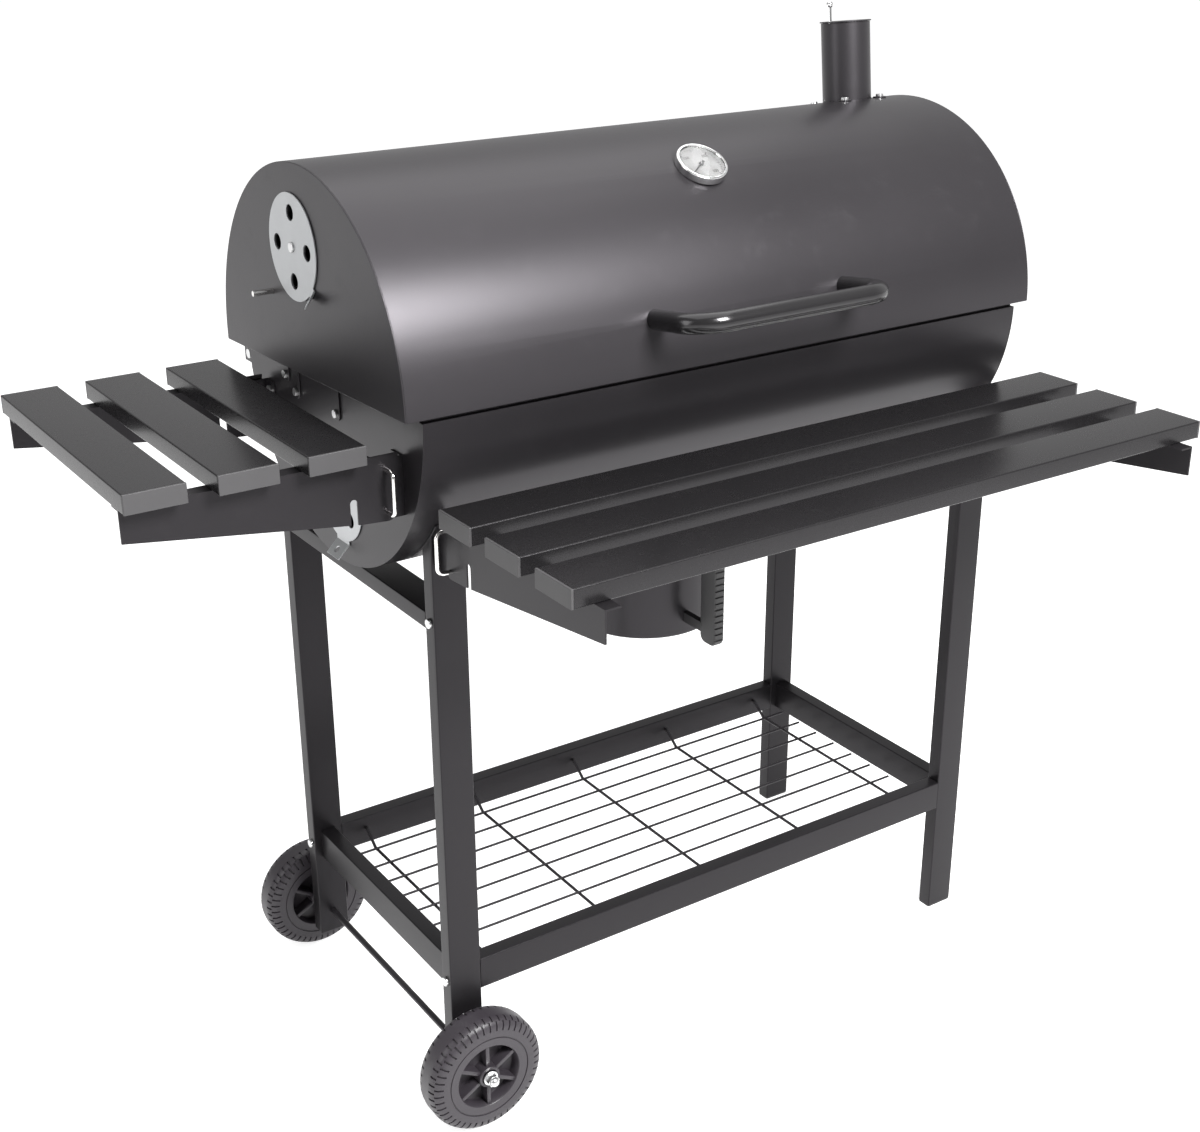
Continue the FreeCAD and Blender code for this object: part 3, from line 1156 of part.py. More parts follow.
def ash_handle():
    """Upright ribbed grip held off the can by two arms."""
    y_can = -ASH_RADIUS
    y_in = y_can - ASH_HANDLE_GAP
    y_out = y_in - ASH_GRIP_DEPTH
    half = ASH_GRIP_WIDTH / 2.0
    z0 = ASH_BOTTOM + ASH_GRIP_LIFT
    z1 = z0 + ASH_GRIP_LENGTH
    grip = box(ASH_X - half, ASH_X + half, y_out, y_in, z0, z1)
    low = [e for e in grip.Edges if e.CenterOfMass.z < z0 + 1 and abs(e.CenterOfMass.x - ASH_X) < 1]
    grip = grip.makeFillet(10.0, low)
    side = [e for e in grip.Edges if abs(e.CenterOfMass.x - ASH_X) > half - 0.1 and e.CenterOfMass.z < z1 - 1]
    grip = grip.makeFillet(2.5, side)
    arms = []
    for base in (z0 + 10.0, z1 - 20.0):
        arms.append(box(ASH_X - half + 3, ASH_X + half - 3, y_in - 2, y_can + 4, base, base + 12.0))
    solid = fuse([grip] + arms).cut(cyl(ASH_RADIUS, V(ASH_X, 0, ASH_BOTTOM - 10), V(0, 0, 1), 200))
    for i in range(12):
        z = z0 + 8.0 + i * 8.0
        solid = solid.cut(box(ASH_X - half - 1, ASH_X + half + 1, y_out - 1, y_out + 1.6, z, z + 3.0))
    return solid


# ---------------------------------------------------------------- assembly
def front_clip_shapes():
    clip = front_place(local_clip())
    return clip, mirror_x(clip, STAND_ARM_MID)


def side_clip_shapes():
    clip = side_place(local_clip())
    return clip, mirror_y(clip)


def build():
    """Every node of the grill, by name."""
    nodes = {}
    nodes["bowl_shell"] = bowl_shell()
    nodes["bowl_left_end"] = bowl_left_end()
    nodes["bowl_right_end"] = bowl_end(BOWL_RIGHT - SHEET)
    nodes["end_straps"] = end_straps()
    nodes["grate_ledges"] = grate_ledges()
    nodes["ash_collar"] = ash_collar()
    nodes["cooking_grates"] = cooking_grates()
    nodes["charcoal_grate"] = charcoal_grate()
    top = front_leg_top()
    nodes["front_left_leg"] = left_leg(LEG_Y[0], top + 0.01)
    nodes["rear_left_leg"] = left_leg(LEG_Y[1], REAR_LEG_TOP)
    nodes["front_right_leg"] = right_leg(LEG_Y[0], top + 0.01)
    nodes["rear_right_leg"] = right_leg(LEG_Y[1], REAR_LEG_TOP)
    nodes["leg_saddles"] = group(leg_saddle(LEG_Y[0], top) + leg_saddle(LEG_Y[1], REAR_LEG_TOP))
    nodes["cross_tubes"] = cross_tubes()
    nodes["shelf_front_rail"] = shelf_long_rail(LEG_Y[0], LEG_Y[0] + SHELF_RAIL_WIDTH)
    nodes["shelf_rear_rail"] = shelf_long_rail(LEG_Y[1], LEG_Y[1])
    nodes["shelf_side_rails"] = shelf_side_rails()
    nodes["shelf_grid"] = shelf_grid()
    nodes["frame_bolts"] = frame_bolts()
    nodes["foot_plugs"] = foot_plugs()
    nodes["axle"] = axle()
    nodes["axle_nuts"] = axle_nuts()
    nodes["side_brackets"] = side_brackets()
    nodes["front_brackets"] = front_brackets()
    nodes["hinge_brackets"] = hinge_brackets()
    damper_rivet = disc_rivet(BOWL_LEFT, DAMPER_BACK, DAMPER_Z)
    nodes["bowl_fasteners"] = group(strap_screws() + bracket_bolts() + hinge_pins() + [damper_rivet])
    nodes["lid_shell"] = lid_shell()
    nodes["lid_left_end"] = lid_end(0.0, True)
    nodes["lid_right_end"] = lid_end(LID_LENGTH - SHEET, False)
    nodes["lid_leaves"] = lid_leaves()
    nodes["lid_handle"] = lid_handle()
    nodes["lid_fasteners"] = group(handle_screws() + [disc_rivet(0.0, VENT_BACK, VENT_Z)])
    nodes["gauge_case"] = gauge_case()
    nodes["gauge_dial"] = gauge_dial()
    nodes["gauge_glass"] = gauge_glass()
    nodes["gauge_needle"] = gauge_needle()
    nodes["chimney"] = chimney()
    nodes["chimney_bolts"] = chimney_bolts()
    nodes["cap_pin"] = cap_pin()
    nodes["chimney_cap"] = chimney_cap()
    nodes["vent_disc"] = vent()
    nodes["damper_disc"] = damper()
    nodes["warming_rack"] = warming_rack()
    nodes["side_slats"] = slats(side_slat_boxes(), "y", side_screw_spots())
    nodes["side_slat_caps"] = slat_caps(side_slat_boxes(), "y")
    nodes["side_arms"] = side_arms()
    nodes["side_screws"] = slat_screws(side_screw_spots())
    nodes["front_slats"] = slats(front_slat_boxes(), "x", front_screw_spots())
    nodes["front_slat_caps"] = slat_caps(front_slat_boxes(), "x")
    nodes["front_arms"] = front_arms()
    nodes["front_screws"] = slat_screws(front_screw_spots())
    nodes["side_clip_front"], nodes["side_clip_rear"] = side_clip_shapes()
    nodes["front_clip_left"], nodes["front_clip_right"] = front_clip_shapes()
    nodes["front_wheel"] = wheel(FRONT_WHEEL_Y)
    nodes["rear_wheel"] = wheel(REAR_WHEEL_Y)
    nodes["ash_can"] = ash_can()
    nodes["ash_handle"] = ash_handle()
    return nodes


def origin_shift(nodes):
    """Move from the working frame to bottom centre of the overall box."""
    bounds = FreeCAD.BoundBox()
    for shape in nodes.values():
        bounds.add(shape.optimalBoundingBox(True, False))
    centre = bounds.Center
    return V(-centre.x, -centre.y, -round(bounds.ZMin, 3))


NODES = build()
SHIFT = origin_shift(NODES)
os.makedirs("parts", exist_ok=True)
for name, shape in NODES.items():
    shape.translate(SHIFT)
    shape.exportStep("parts/" + name + ".step")
    print(name, len(shape.Solids), shape.isValid())
print("shift", SHIFT, "nodes", len(NODES))
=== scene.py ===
import json
import math

import bmesh
import bpy
from mathutils import Matrix, Vector


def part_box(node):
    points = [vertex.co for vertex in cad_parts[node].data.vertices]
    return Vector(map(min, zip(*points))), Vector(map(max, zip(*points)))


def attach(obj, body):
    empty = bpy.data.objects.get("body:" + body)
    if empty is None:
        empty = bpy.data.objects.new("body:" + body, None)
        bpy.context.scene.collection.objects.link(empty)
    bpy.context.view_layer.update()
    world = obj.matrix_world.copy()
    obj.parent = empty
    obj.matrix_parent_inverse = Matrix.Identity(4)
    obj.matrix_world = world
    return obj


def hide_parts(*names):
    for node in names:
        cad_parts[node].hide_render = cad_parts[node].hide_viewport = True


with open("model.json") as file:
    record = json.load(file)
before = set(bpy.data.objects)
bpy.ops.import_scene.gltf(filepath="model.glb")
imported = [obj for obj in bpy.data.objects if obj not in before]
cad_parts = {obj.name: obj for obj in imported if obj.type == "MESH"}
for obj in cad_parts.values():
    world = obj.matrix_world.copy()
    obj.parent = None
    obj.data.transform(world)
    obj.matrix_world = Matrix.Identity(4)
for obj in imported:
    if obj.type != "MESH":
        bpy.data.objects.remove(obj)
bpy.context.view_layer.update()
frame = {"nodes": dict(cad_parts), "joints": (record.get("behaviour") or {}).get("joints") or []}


# ---------------------------------------------------------------- legs, rails and shelf frame
# Four uprights, two cross tubes and four shelf rails of 40 x 20 mm steel tube, powder coated satin black.
# The uprights are notched round the barrel and bolted to the rails; each tube keeps its rolled corners.
class Level:
    """One output of a finish; arithmetic on it adds Math nodes."""

    def __init__(self, finish, socket):
        self.finish = finish
        self.socket = socket

    def math(self, operation, *values):
        return self.finish.node("ShaderNodeMath", {"operation": operation}, dict(enumerate(values)))

    def __add__(self, other):
        return self.math("ADD", self, other)

    def __radd__(self, other):
        return self.math("ADD", other, self)

    def __sub__(self, other):
        return self.math("SUBTRACT", self, other)

    def __rsub__(self, other):
        return self.math("SUBTRACT", other, self)

    def __mul__(self, other):
        return self.math("MULTIPLY", self, other)

    def __rmul__(self, other):
        return self.math("MULTIPLY", other, self)

    def above(self, low, high):
        """0 below low, 1 above high, even in between."""
        settings = {"interpolation_type": "SMOOTHSTEP"}
        return self.finish.node("ShaderNodeMapRange", settings, {0: self, 1: low, 2: high, 3: 0.0, 4: 1.0})


class Finish:
    """A material being mixed on one Principled surface; fixed values go straight onto its sockets."""

    def __init__(self, name, **fixed):
        self.material = bpy.data.materials.new(name)
        self.material.use_nodes = True
        self.tree = self.material.node_tree
        self.surface = self.tree.nodes["Principled BSDF"]
        for socket, value in fixed.items():
            self.surface.inputs[socket.replace("_", " ")].default_value = value
        self.place = self.node("ShaderNodeTexCoord", {}, {}, "Object")

    def node(self, kind, settings, inputs, output=0):
        made = self.tree.nodes.new(kind)
        for key, value in settings.items():
            setattr(made, key, value)
        for key, value in inputs.items():
            if isinstance(value, Level):
                self.tree.links.new(value.socket, made.inputs[key])
            else:
                made.inputs[key].default_value = value
        return Level(self, made.outputs[output])

    def noise(self, scale, detail=2.0, rough=0.5, place=None):
        inputs = {"Vector": place or self.place, "Scale": scale, "Detail": detail, "Roughness": rough}
        return self.node("ShaderNodeTexNoise", {}, inputs, "Fac")

    def stretched(self, x, y, z):
        return self.node("ShaderNodeMapping", {}, {"Vector": self.place, "Scale": (x, y, z)})

    def axis(self, name):
        return self.node("ShaderNodeSeparateXYZ", {}, {0: self.place}, name)

    def blend(self, amount, first, second):
        settings = {"data_type": "RGBA", "clamp_factor": True}
        return self.node("ShaderNodeMix", settings, {0: amount, 6: first, 7: second}, 2)

    def bump(self, height, distance):
        return self.node("ShaderNodeBump", {}, {"Height": height, "Distance": distance, "Strength": 1.0})

    def feed(self, **sockets):
        for name, value in sockets.items():
            self.tree.links.new(value.socket, self.surface.inputs[name.replace("_", " ")])
        return self.material


def shade(value, warm=0.0):
    """Linear grey, a little warmer or cooler."""
    return (value * (1 + warm), value, value * (1 - warm), 1.0)


def violet_grey(value, violet):
    """Linear grey with its green held back, as on warm black paint."""
    return (value * (1 + violet * 0.6), value * (1 - violet), value * (1 + violet), 1.0)


def powder_coat(name, level, gloss, peel=0.00003, violet=0.05, coat=0.0, shine=0.30):
    """Baked satin powder paint with a faint violet cast.

    Slow drifts of tone, pinhole speckle, orange peel and a little dust lying in patches.
    """
    paint = Finish(name, Specular_IOR_Level=shine, Coat_Roughness=0.2,
                   Specular_Tint=(1.0, 1.0 - violet, 1.0 + violet * 0.3, 1.0))
    drift = paint.noise(3.5, 3.0)
    speck = paint.noise(900.0, 2.0)
    dust = paint.noise(38.0, 5.0, 0.65).above(0.52, 0.85)
    base = paint.blend(drift, violet_grey(level * 0.84, violet), violet_grey(level * 1.16, violet))
    base = paint.blend(speck.above(0.60, 0.75) * 0.35, base, violet_grey(level * 1.8, violet))
    base = paint.blend(dust * 0.07, base, violet_grey(level * 2.0 + 0.02, violet * 0.4))
    rough = gloss + (drift - 0.5) * 0.10 + dust * 0.05 + (speck - 0.5) * 0.08
    height = paint.noise(420.0, 3.0, 0.55) + speck * 0.35
    coat_level = coat + (drift - 0.5) * 0.05
    return paint.feed(Base_Color=base, Roughness=rough, Normal=paint.bump(height, peel),
                      Coat_Weight=coat_level)


def clean_copy(node, name, edge=0.0005, sharp=32.0):
    """Welded copy of a part from the model, flat faces rejoined and every hard edge slightly rounded."""
    shape = bmesh.new()
    shape.from_mesh(frame["nodes"][node].data)
    bmesh.ops.remove_doubles(shape, verts=shape.verts, dist=2e-6)
    bmesh.ops.dissolve_limit(shape, angle_limit=math.radians(0.4), verts=shape.verts, edges=shape.edges)
    return finished(shape, name, edge, sharp)


def finished(shape, name, edge=0.0, sharp=32.0):
    """Turn a bmesh into a smooth shaded object at the origin, hard edges kept crisp or rounded."""
    for face in shape.faces:
        face.smooth = True
    for line in shape.edges:
        line.smooth = len(line.link_faces) != 2 or line.calc_face_angle(0.0) < math.radians(sharp)
    mesh = bpy.data.meshes.new(name)
    shape.to_mesh(mesh)
    shape.free()
    piece = bpy.data.objects.new(name, mesh)
    bpy.context.scene.collection.objects.link(piece)
    if edge > 0:
        rounding = piece.modifiers.new("edge_rounding", "BEVEL")
        rounding.width = edge
        rounding.segments = 2
        rounding.limit_method = "ANGLE"
        rounding.angle_limit = math.radians(sharp)
        rounding.harden_normals = True
    return piece


def fit(piece, finish, slot, body, *nodes):
    """Give a piece its finish, hang it on its body and let it stand for its nodes."""
    piece.data.materials.clear()
    piece.data.materials.append(finish)
    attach(piece, body)
    if nodes:
        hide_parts(*nodes)
    return piece


frame_black = powder_coat("frame_black", 0.009, 0.34, shine=0.22)
for tube in ("front_left_leg", "rear_left_leg", "front_right_leg", "rear_right_leg", "cross_tubes",
             "shelf_front_rail", "shelf_rear_rail", "shelf_side_rails"):
    fit(clean_copy(tube, tube + "_tube", 0.0), frame_black, "frame_paint", "cart", tube)


# ---------------------------------------------------------------- bowl
# Lower half of the barrel: 1.5 mm sheet rolled to a half round with a stepped rim and two pressed ends.
# Hanging straps, collar and leg saddles are pressed sheet, bolted or spot welded on.
bowl_black = powder_coat("bowl_black", 0.010, 0.33, shine=0.32)
bowl_edges = {"bowl_shell": 0.0006, "bowl_left_end": 0.0006, "bowl_right_end": 0.0006, "end_straps": 0.0005,
              "ash_collar": 0.0004, "grate_ledges": 0.0003, "leg_saddles": 0.0005}
for sheet, edge in bowl_edges.items():
    fit(clean_copy(sheet, sheet + "_sheet", edge), bowl_black, "bowl_paint", "cart", sheet)


# ---------------------------------------------------------------- grates
# Three cooking grates and a charcoal grate of welded round wire, dipped in glossy black enamel.
# They lie loose on the ledges spot welded inside the bowl.
grate_enamel = powder_coat("grate_enamel", 0.018, 0.28, coat=0.3)
for grate in ("cooking_grates", "charcoal_grate"):
    fit(clean_copy(grate, grate + "_wires", 0.0), grate_enamel, "grate_enamel", "cart", grate)


# ---------------------------------------------------------------- wire shelf
# Five cross wires with hooked ends in the rails, and eight thinner wires welded across them.
# Powder coated black after welding.
wire_black = powder_coat("wire_black", 0.014, 0.38)
fit(clean_copy("shelf_grid", "shelf_wires", 0.0, 50.0), wire_black, "wire_paint", "cart", "shelf_grid")


# ---------------------------------------------------------------- bolts, plugs and axle
# Zinc plated bolts, screws and nuts throughout, soft plastic plugs in the two standing feet, and a plain
# black rod through the left legs as the axle.
zinc = Finish("zinc_plate", Metallic=1.0)
patina = zinc.noise(60.0, 4.0, 0.6)
turned = zinc.noise(1.0, 2.0, 0.5, zinc.stretched(900.0, 900.0, 900.0))
zinc.feed(Base_Color=zinc.blend(patina, shade(0.62, 0.01), shade(0.82, -0.01)),
          Roughness=0.22 + patina * 0.18,
          Normal=zinc.bump(turned, 0.00003))
zinc = zinc.material
hardware_bodies = {"frame_bolts": "cart", "axle_nuts": "cart", "bowl_fasteners": "cart",
                   "lid_fasteners": "lid", "chimney_bolts": "lid", "side_screws": "side_table",
                   "front_screws": "front_table"}
for hardware, body in hardware_bodies.items():
    fit(clean_copy(hardware, hardware + "_zinc", 0.0003), zinc, "zinc", body, hardware)


def moulded(name, level, gloss, grain=0.00006, violet=0.03):
    """Injection moulded plastic: fine spark-eroded grain, flow marks and a painted sheen lightening the
    grain's high spots.
    """
    plastic = Finish(name, Specular_IOR_Level=0.45)
    flow = plastic.noise(14.0, 4.0, 0.55)
    grit = plastic.noise(1400.0, 2.0, 0.6)
    base = plastic.blend(flow, violet_grey(level * 0.88, violet), violet_grey(level * 1.12, violet))
    # painted sheen: the grain's raised spots are lightened in the base colour
    base = plastic.blend(grit.above(0.5, 0.8) * 0.25, base, violet_grey(level * 1.5, violet))
    rough = gloss + (flow - 0.5) * 0.12 + (grit - 0.5) * 0.1
    return plastic.feed(Base_Color=base, Roughness=rough, Normal=plastic.bump(grit, grain))


foot_plastic = moulded("foot_plastic", 0.02, 0.5)
fit(clean_copy("foot_plugs", "foot_plug_pads", 0.0006), foot_plastic, "foot_plastic", "cart", "foot_plugs")
axle_black = powder_coat("axle_black", 0.02, 0.34)
fit(clean_copy("axle", "axle_rod", 0.0004), axle_black, "axle_steel", "cart", "axle")


# ---------------------------------------------------------------- wheels
# Hard moulded plastic wheels that turn on the plain rod. A flat ring with one groove carries the tread,
# six ribs join it to a hollow hub, and short pockets are sunk round both shoulders of the tread.
WHEEL_BLOCKS = 46
STEPS_A_BLOCK = 4
RIB_COUNT = 6
RIB_SIZE = (29.0, 37.0, 5.0, 1.0)
RIB_RADIUS = 26.5
MM = 0.001
half_section = [(4.3, 14.0), (8.8, 14.0), (9.6, 15.0), (10.0, 22.0), (12.4, 22.2), (13.2, 21.4),
                (13.8, 5.0), (15.6, 4.0), (37.0, 4.0), (39.0, 5.5), (40.0, 19.6), (40.9, 20.6),
                (50.4, 21.0), (50.8, 20.0), (51.8, 20.0), (52.2, 21.2), (60.5, 21.3), (66.5, 19.8),
                (70.6, 16.5), (72.6, 12.5), (73.4, 8.0), (73.4, 5.0)]
wheel_plastic = moulded("wheel_plastic", 0.030, 0.42, 0.00005, 0.09)


def spun(shape, outline, steps):
    """Spin a closed outline of (radius, distance along the axle) round the Y axis into the shape."""
    corners = [shape.verts.new((radius, along, 0.0)) for radius, along in outline]
    loop = [shape.edges.new(pair) for pair in zip(corners, corners[1:] + corners[:1])]
    bmesh.ops.spin(shape, geom=corners + loop, cent=(0.0, 0.0, 0.0), axis=(0.0, 1.0, 0.0),
                   angle=math.tau, steps=steps, use_merge=True)


def block(shape, matrix, edge, segments):
    """Add a unit cube set by the matrix, its edges rounded."""
    made = bmesh.ops.create_cube(shape, size=1.0, matrix=matrix)
    sides = list({line for corner in made["verts"] for line in corner.link_edges})
    bmesh.ops.bevel(shape, geom=sides, offset=edge, segments=segments, affect="EDGES",
                    profile=0.5, material=-1)


def sink(shape, near, far, first, depth):
    """Push pockets into every block of the tread between two radii."""
    pockets = []
    for face in shape.faces:
        spot = face.calc_center_median()
        radius = math.hypot(spot.x, spot.z)
        step = int((math.atan2(spot.z, spot.x) + math.pi) / math.tau * WHEEL_BLOCKS * STEPS_A_BLOCK)
        if near < radius < far and abs(spot.y) > 7.0 and step % STEPS_A_BLOCK == first:
            pockets.append(face)
    bmesh.ops.inset_region(shape, faces=pockets, thickness=0.35, depth=-depth, use_even_offset=True)


for wheel in ("front_wheel", "rear_wheel"):
    low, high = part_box(wheel)
    moulding = bmesh.new()
    spun(moulding, half_section + [(radius, -along) for radius, along in reversed(half_section)],
         WHEEL_BLOCKS * STEPS_A_BLOCK)
    bmesh.ops.recalc_face_normals(moulding, faces=moulding.faces)
    sink(moulding, 61.0, 70.0, 0, 1.8)
    sink(moulding, 71.0, 73.2, 2, 1.7)
    for rib in range(RIB_COUNT):
        turn = Matrix.Rotation(math.tau * (rib + 0.5) / RIB_COUNT, 4, "Y")
        place = turn @ Matrix.Translation((RIB_RADIUS, 0.0, 0.0)) @ Matrix.Diagonal(RIB_SIZE)
        block(moulding, place, 0.9, 2)
    bmesh.ops.scale(moulding, vec=(MM, MM, MM), verts=moulding.verts)
    bmesh.ops.translate(moulding, vec=(Vector(low) + Vector(high)) / 2, verts=moulding.verts)
    fit(finished(moulding, wheel + "_moulding", 0.0, 40.0), wheel_plastic, "wheel_plastic", wheel, wheel)


# ---------------------------------------------------------------- brackets and arms
# Pressed 2 mm sheet, powder coated: brackets bolted to the cart, and flanged arms that swing on them.
# The hinge brackets carry the lid.
arm_black = powder_coat("arm_black", 0.009, 0.36, shine=0.24)
arm_bodies = {"side_brackets": "cart", "front_brackets": "cart", "hinge_brackets": "cart",
              "side_arms": "side_table", "front_arms": "front_table"}
for sheet, body in arm_bodies.items():
    fit(clean_copy(sheet, sheet + "_sheet", 0.0005), arm_black, "arm_paint", body, sheet)


# ---------------------------------------------------------------- slats
# Three flat steel tubes on each table, powder coated and screwed to the arms.
# A moulded grey cap closes each end.
slat_black = powder_coat("slat_black", 0.009, 0.27, peel=0.000015, violet=0.03, shine=0.30)
cap_grey = moulded("cap_grey", 0.045, 0.55, violet=0.02)
for table in ("side", "front"):
    body = table + "_table"
    tubes = clean_copy(table + "_slats", table + "_slat_tubes", 0.0)
    fit(tubes, slat_black, "slat_paint", body, table + "_slats")
    ends = clean_copy(table + "_slat_caps", table + "_slat_ends", 0.0008)
    fit(ends, cap_grey, "cap_plastic", body, table + "_slat_caps")


# ---------------------------------------------------------------- clips and warming rack
# Four bent spring wire clips that lock the tables, and the warming rack, all bright chrome plated wire.
# The clips slide in holes in the brackets; the rack swings on its own end wires.
chrome = Finish("clip_chrome", Metallic=1.0)
smear = chrome.noise(45.0, 3.0)
chrome.feed(Base_Color=chrome.blend(smear, shade(0.78, 0.03), shade(0.9, 0.01)),
            Roughness=0.06 + smear * 0.12, Normal=chrome.bump(smear, 0.00005))
chrome = chrome.material
for clip in ("side_clip_front", "side_clip_rear", "front_clip_left", "front_clip_right"):
    fit(clean_copy(clip, clip + "_wire", 0.0, 50.0), chrome, "clip_chrome", clip, clip)
rack = clean_copy("warming_rack", "warming_rack_wires", 0.0, 50.0)
fit(rack, chrome, "clip_chrome", "warming_rack", "warming_rack")


# ---------------------------------------------------------------- lid
# Upper half of the barrel in satin powder paint: rolled sheet, two ends, leaves, chimney and swinging cap.
# The handle is bent tube in a glossier black, bolted through the front.
lid_black = powder_coat("lid_black", 0.012, 0.37, shine=0.50)
for sheet in ("lid_shell", "lid_left_end", "lid_right_end", "lid_leaves", "chimney"):
    fit(clean_copy(sheet, sheet + "_sheet", 0.0006), lid_black, "lid_paint", "lid", sheet)
cap = clean_copy("chimney_cap", "chimney_cap_sheet", 0.0004)
fit(cap, lid_black, "lid_paint", "chimney_cap", "chimney_cap")
handle_black = powder_coat("handle_black", 0.009, 0.20, violet=0.03, coat=0.5)
fit(clean_copy("lid_handle", "handle_bar", 0.0, 50.0), handle_black, "handle_paint", "lid", "lid_handle")


# ---------------------------------------------------------------- vents
# Two discs of bare rolled sheet with four holes each, turned by a tab to open or close the holes behind.
# One is pinned to the lid's left end and one to the bowl's.
vent_grey = Finish("vent_grey", Metallic=0.55)
rolled = vent_grey.noise(1.0, 3.0, 0.5, vent_grey.stretched(40.0, 60.0, 1400.0))
mottle = vent_grey.noise(30.0, 4.0)
vent_grey.feed(Base_Color=vent_grey.blend(mottle, shade(0.44, -0.02), shade(0.52, -0.02)),
               Roughness=0.36 + rolled * 0.14, Normal=vent_grey.bump(rolled, 0.00004))
vent_grey = vent_grey.material
fit(clean_copy("vent_disc", "vent_disc_plate", 0.0003), vent_grey, "vent_metal", "vent_disc", "vent_disc")
damper = clean_copy("damper_disc", "damper_disc_plate", 0.0003)
fit(damper, vent_grey, "vent_metal", "damper_disc", "damper_disc")


# ---------------------------------------------------------------- gauge
# Dial thermometer screwed through the lid: chromed cup with a rolled bezel, brushed dial with printed marks,
# a clear lens and a black needle. The pin of the chimney cap is the same chromed steel.
case_steel = Finish("case_chrome", Metallic=1.0)
haze = case_steel.noise(35.0, 4.0)
swirl = case_steel.noise(1.0, 2.0, 0.5, case_steel.stretched(60.0, 700.0, 700.0))
case_steel.feed(Base_Color=case_steel.blend(haze, shade(0.80, 0.01), shade(0.93, -0.01)),
                Roughness=0.08 + haze * 0.10, Normal=case_steel.bump(swirl, 0.00002))
fit(clean_copy("gauge_case", "gauge_cup", 0.0003), case_steel.material, "gauge_steel", "lid", "gauge_case")
fit(clean_copy("cap_pin", "cap_pin_rod", 0.0), case_steel.material, "gauge_steel", "lid", "cap_pin")

needle_turn = next(joint for joint in frame["joints"] if joint["name"] == "gauge_needle_turn")
dial_aim = Vector(needle_turn["axis"]).to_track_quat("Z", "Y").to_matrix().to_4x4()
dial_seat = Matrix.Translation(needle_turn["pos_m"]) @ dial_aim
bezel_section = [(29.4, 0.6), (29.4, 5.6), (28.9, 7.6), (27.8, 8.8),
                 (26.9, 8.7), (26.2, 7.6), (26.1, 6.0), (26.1, 0.6)]


def seated(shape):
    """Take a shape drawn flat in mm to its place on the lid."""
    bmesh.ops.scale(shape, vec=(MM, MM, MM), verts=shape.verts)
    bmesh.ops.transform(shape, matrix=dial_seat, verts=shape.verts)
    return shape


bezel = bmesh.new()
spun(bezel, bezel_section, 96)
bmesh.ops.recalc_face_normals(bezel, faces=bezel.faces)
bmesh.ops.transform(bezel, matrix=Matrix.Rotation(math.radians(90), 4, "X"), verts=bezel.verts)
ring = finished(seated(bezel), "gauge_bezel", 0.0, 50.0)
fit(ring, case_steel.material, "gauge_steel", "lid", "gauge_case")

dial_silver = Finish("dial_silver", Metallic=0.35)
grain = dial_silver.noise(1.0, 3.0, 0.6, dial_silver.stretched(30.0, 900.0, 900.0))
stain = dial_silver.noise(55.0, 3.0)
dial_silver.feed(Base_Color=dial_silver.blend(stain, shade(0.62, 0.01), shade(0.78, 0.0)),
                 Roughness=0.30 + grain * 0.2, Normal=dial_silver.bump(grain, 0.00002))
dial = clean_copy("gauge_dial", "gauge_dial_plate", 0.0)
fit(dial, dial_silver.material, "dial_face", "lid", "gauge_dial")

MARKS = 31
SWEEP = 270.0
dial_ink = moulded("dial_ink", 0.02, 0.5)
marks = bmesh.new()
for mark in range(MARKS):
    angle = math.radians(SWEEP / 2 - SWEEP * mark / (MARKS - 1))
    length = 3.6 if mark % 5 == 0 else 1.9
    width = 0.62 if mark % 5 == 0 else 0.36
    slant = Matrix.Rotation(angle, 4, "Z") @ Matrix.Translation((0.0, 24.6 - length / 2, 2.68))
    block(marks, slant @ Matrix.Diagonal((width, length, 0.10, 1.0)), 0.03, 1)
fit(finished(seated(marks), "gauge_marks"), dial_ink, "needle_paint", "lid", "gauge_dial")

FIGURE_RADIUS = 0.0170
FIGURE_LIFT = 0.00272
for mark in range(0, MARKS, 10):
    angle = math.radians(SWEEP / 2 - SWEEP * mark / (MARKS - 1))
    figure = bpy.data.curves.new("figure", "FONT")
    figure.body = str(50 + mark * 10)
    figure.size = 0.0050
    figure.extrude = 0.00004
    figure.align_x = "CENTER"
    figure.align_y = "CENTER"
    writer = bpy.data.objects.new("figure", figure)
    printed = bmesh.new()
    printed.from_mesh(bpy.data.meshes.new_from_object(writer))
    bpy.data.objects.remove(writer)
    across = -FIGURE_RADIUS * math.sin(angle)
    along = FIGURE_RADIUS * math.cos(angle)
    spot = Matrix.Translation((across, along, FIGURE_LIFT))
    bmesh.ops.transform(printed, matrix=dial_seat @ spot, verts=printed.verts)
    number = finished(printed, "gauge_figure_%d" % (50 + mark * 10))
    fit(number, dial_ink, "needle_paint", "lid", "gauge_dial")

lens_clear = Finish("lens_clear", Transmission_Weight=1.0, IOR=1.45)
wipe = lens_clear.noise(60.0, 3.0)
lens_clear.feed(Roughness=0.01 + wipe * 0.04, Normal=lens_clear.bump(wipe, 0.00001))
lens = bmesh.new()
bmesh.ops.create_circle(lens, cap_ends=True, radius=25.9, segments=72)
rim = bmesh.ops.extrude_face_region(lens, geom=lens.faces[:])
raised = [corner for corner in rim["geom"] if isinstance(corner, bmesh.types.BMVert)]
bmesh.ops.translate(lens, vec=(0.0, 0.0, 1.2), verts=raised)
top = [face for face in rim["geom"] if isinstance(face, bmesh.types.BMFace)]
for shrink, rise in ((3.0, 0.45), (5.0, 0.4), (7.0, 0.25)):
    bmesh.ops.inset_region(lens, faces=top, thickness=shrink, depth=0.0, use_even_offset=True)
    lifted = list({corner for face in top for corner in face.verts})
    bmesh.ops.translate(lens, vec=(0.0, 0.0, rise), verts=lifted)
bmesh.ops.recalc_face_normals(lens, faces=lens.faces)
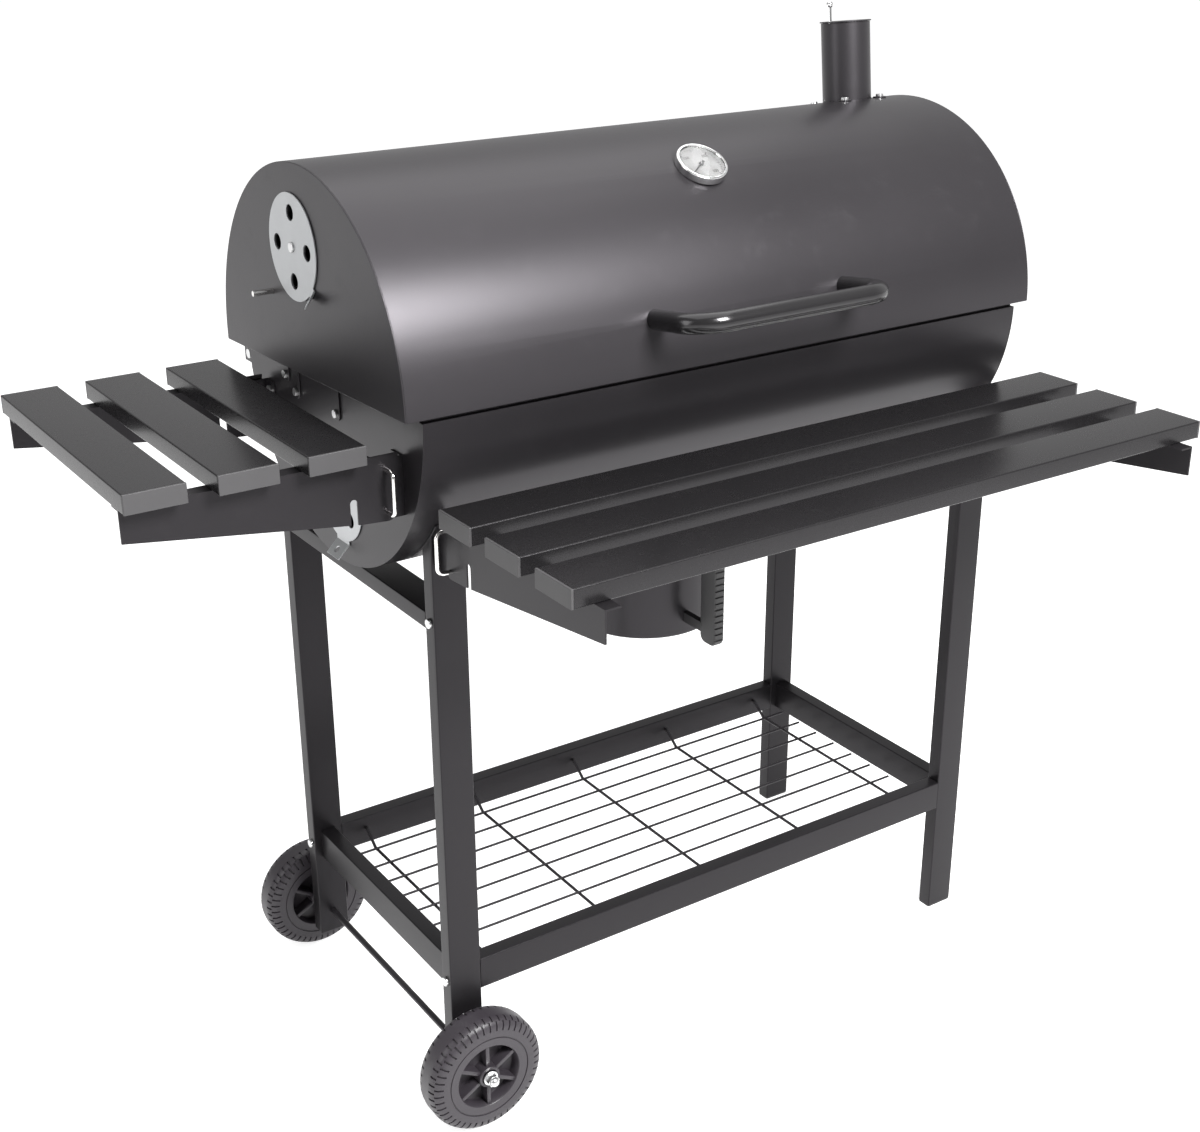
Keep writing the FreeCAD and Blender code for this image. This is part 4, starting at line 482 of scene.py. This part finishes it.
bmesh.ops.translate(lens, vec=(0.0, 0.0, 6.0), verts=lens.verts)
glass = finished(seated(lens), "gauge_lens", 0.0, 40.0)
fit(glass, lens_clear.material, "gauge_glass", "lid", "gauge_glass")

needle_black = moulded("needle_black", 0.03, 0.4)
pointer = clean_copy("gauge_needle", "gauge_pointer", 0.0)
fit(pointer, needle_black, "needle_paint", "gauge_needle", "gauge_needle")


# ---------------------------------------------------------------- ash can
# Deep drawn cup in the bowl's paint that hangs under the collar and drops out for emptying.
# Its grip is moulded in black plastic.
fit(clean_copy("ash_can", "ash_can_cup", 0.0004), bowl_black, "bowl_paint", "ash_can", "ash_can")
grip_black = moulded("grip_black", 0.02, 0.42)
fit(clean_copy("ash_handle", "ash_can_grip", 0.0004), grip_black, "grip_plastic", "ash_can", "ash_handle")


# ---------------------------------------------------------------- floor, lights and camera
# Pale floor, itself faintly lit, under three soft boxes.
# The room behind them is a gradient from pale to grey.
floor_shape = bmesh.new()
bmesh.ops.create_grid(floor_shape, x_segments=1, y_segments=1, size=40.0)
floor = finished(floor_shape, "studio_floor")
floor_white = Finish("floor_white", Roughness=0.9, Specular_IOR_Level=0.1, Emission_Strength=0.80)
mottle = floor_white.noise(2.0, 2.0)
floor_white.feed(Base_Color=floor_white.blend(mottle, shade(0.66), shade(0.68)),
                 Emission_Color=floor_white.blend(mottle, shade(0.97), shade(1.0)))
floor.data.materials.append(floor_white.material)

world = bpy.data.worlds.new("studio_world")
bpy.context.scene.world = world
world.use_nodes = True


class Room(Finish):
    """The studio's surroundings, mixed with the same tools as a finish."""

    def __init__(self, tree):
        self.material = None
        self.tree = tree
        self.surface = tree.nodes["Background"]
        self.place = self.node("ShaderNodeTexCoord", {}, {}, "Generated")


room = Room(world.node_tree)
towards = room.axis("X") * 0.75 + room.axis("Y") * 0.55 + 0.12
room.feed(Color=room.blend(towards.above(0.0, 0.8), shade(0.40), shade(1.0)))
room.surface.inputs["Strength"].default_value = 0.6


def softbox(name, size, power, where, towards):
    """One rectangular studio lamp facing a point."""
    lamp = bpy.data.lights.new(name, "AREA")
    lamp.shape = "RECTANGLE"
    lamp.size, lamp.size_y = size
    lamp.energy = power
    holder = bpy.data.objects.new(name, lamp)
    bpy.context.scene.collection.objects.link(holder)
    holder.location = where
    holder.rotation_euler = (Vector(towards) - Vector(where)).to_track_quat("-Z", "Y").to_euler()


softbox("key_box", (0.9, 0.9), 170.0, (0.25, -1.9, 2.45), (-0.15, 0.0, 0.95))
softbox("left_box", (1.2, 1.8), 22.0, (-2.6, 0.3, 1.6), (0.0, 0.0, 0.7))
softbox("top_box", (3.5, 3.5), 60.0, (0.2, 0.6, 3.6), (0.0, 0.0, 0.0))

bpy.context.scene.view_settings.view_transform = "Standard"
optics = bpy.data.cameras.new("studio_camera")
optics.lens = 52.31
optics.sensor_width = 36.0
camera = bpy.data.objects.new("studio_camera", optics)
bpy.context.scene.collection.objects.link(camera)
camera_place = (-1.0292, -1.5534, 1.3952)
heading = Matrix.Rotation(math.radians(-33.68), 4, "Z")
tilt = Matrix.Rotation(math.radians(90 - 22.68), 4, "X")
camera.matrix_world = Matrix.Translation(camera_place) @ heading @ tilt @ Matrix.Rotation(-0.0054, 4, "Z")
bpy.context.scene.camera = camera
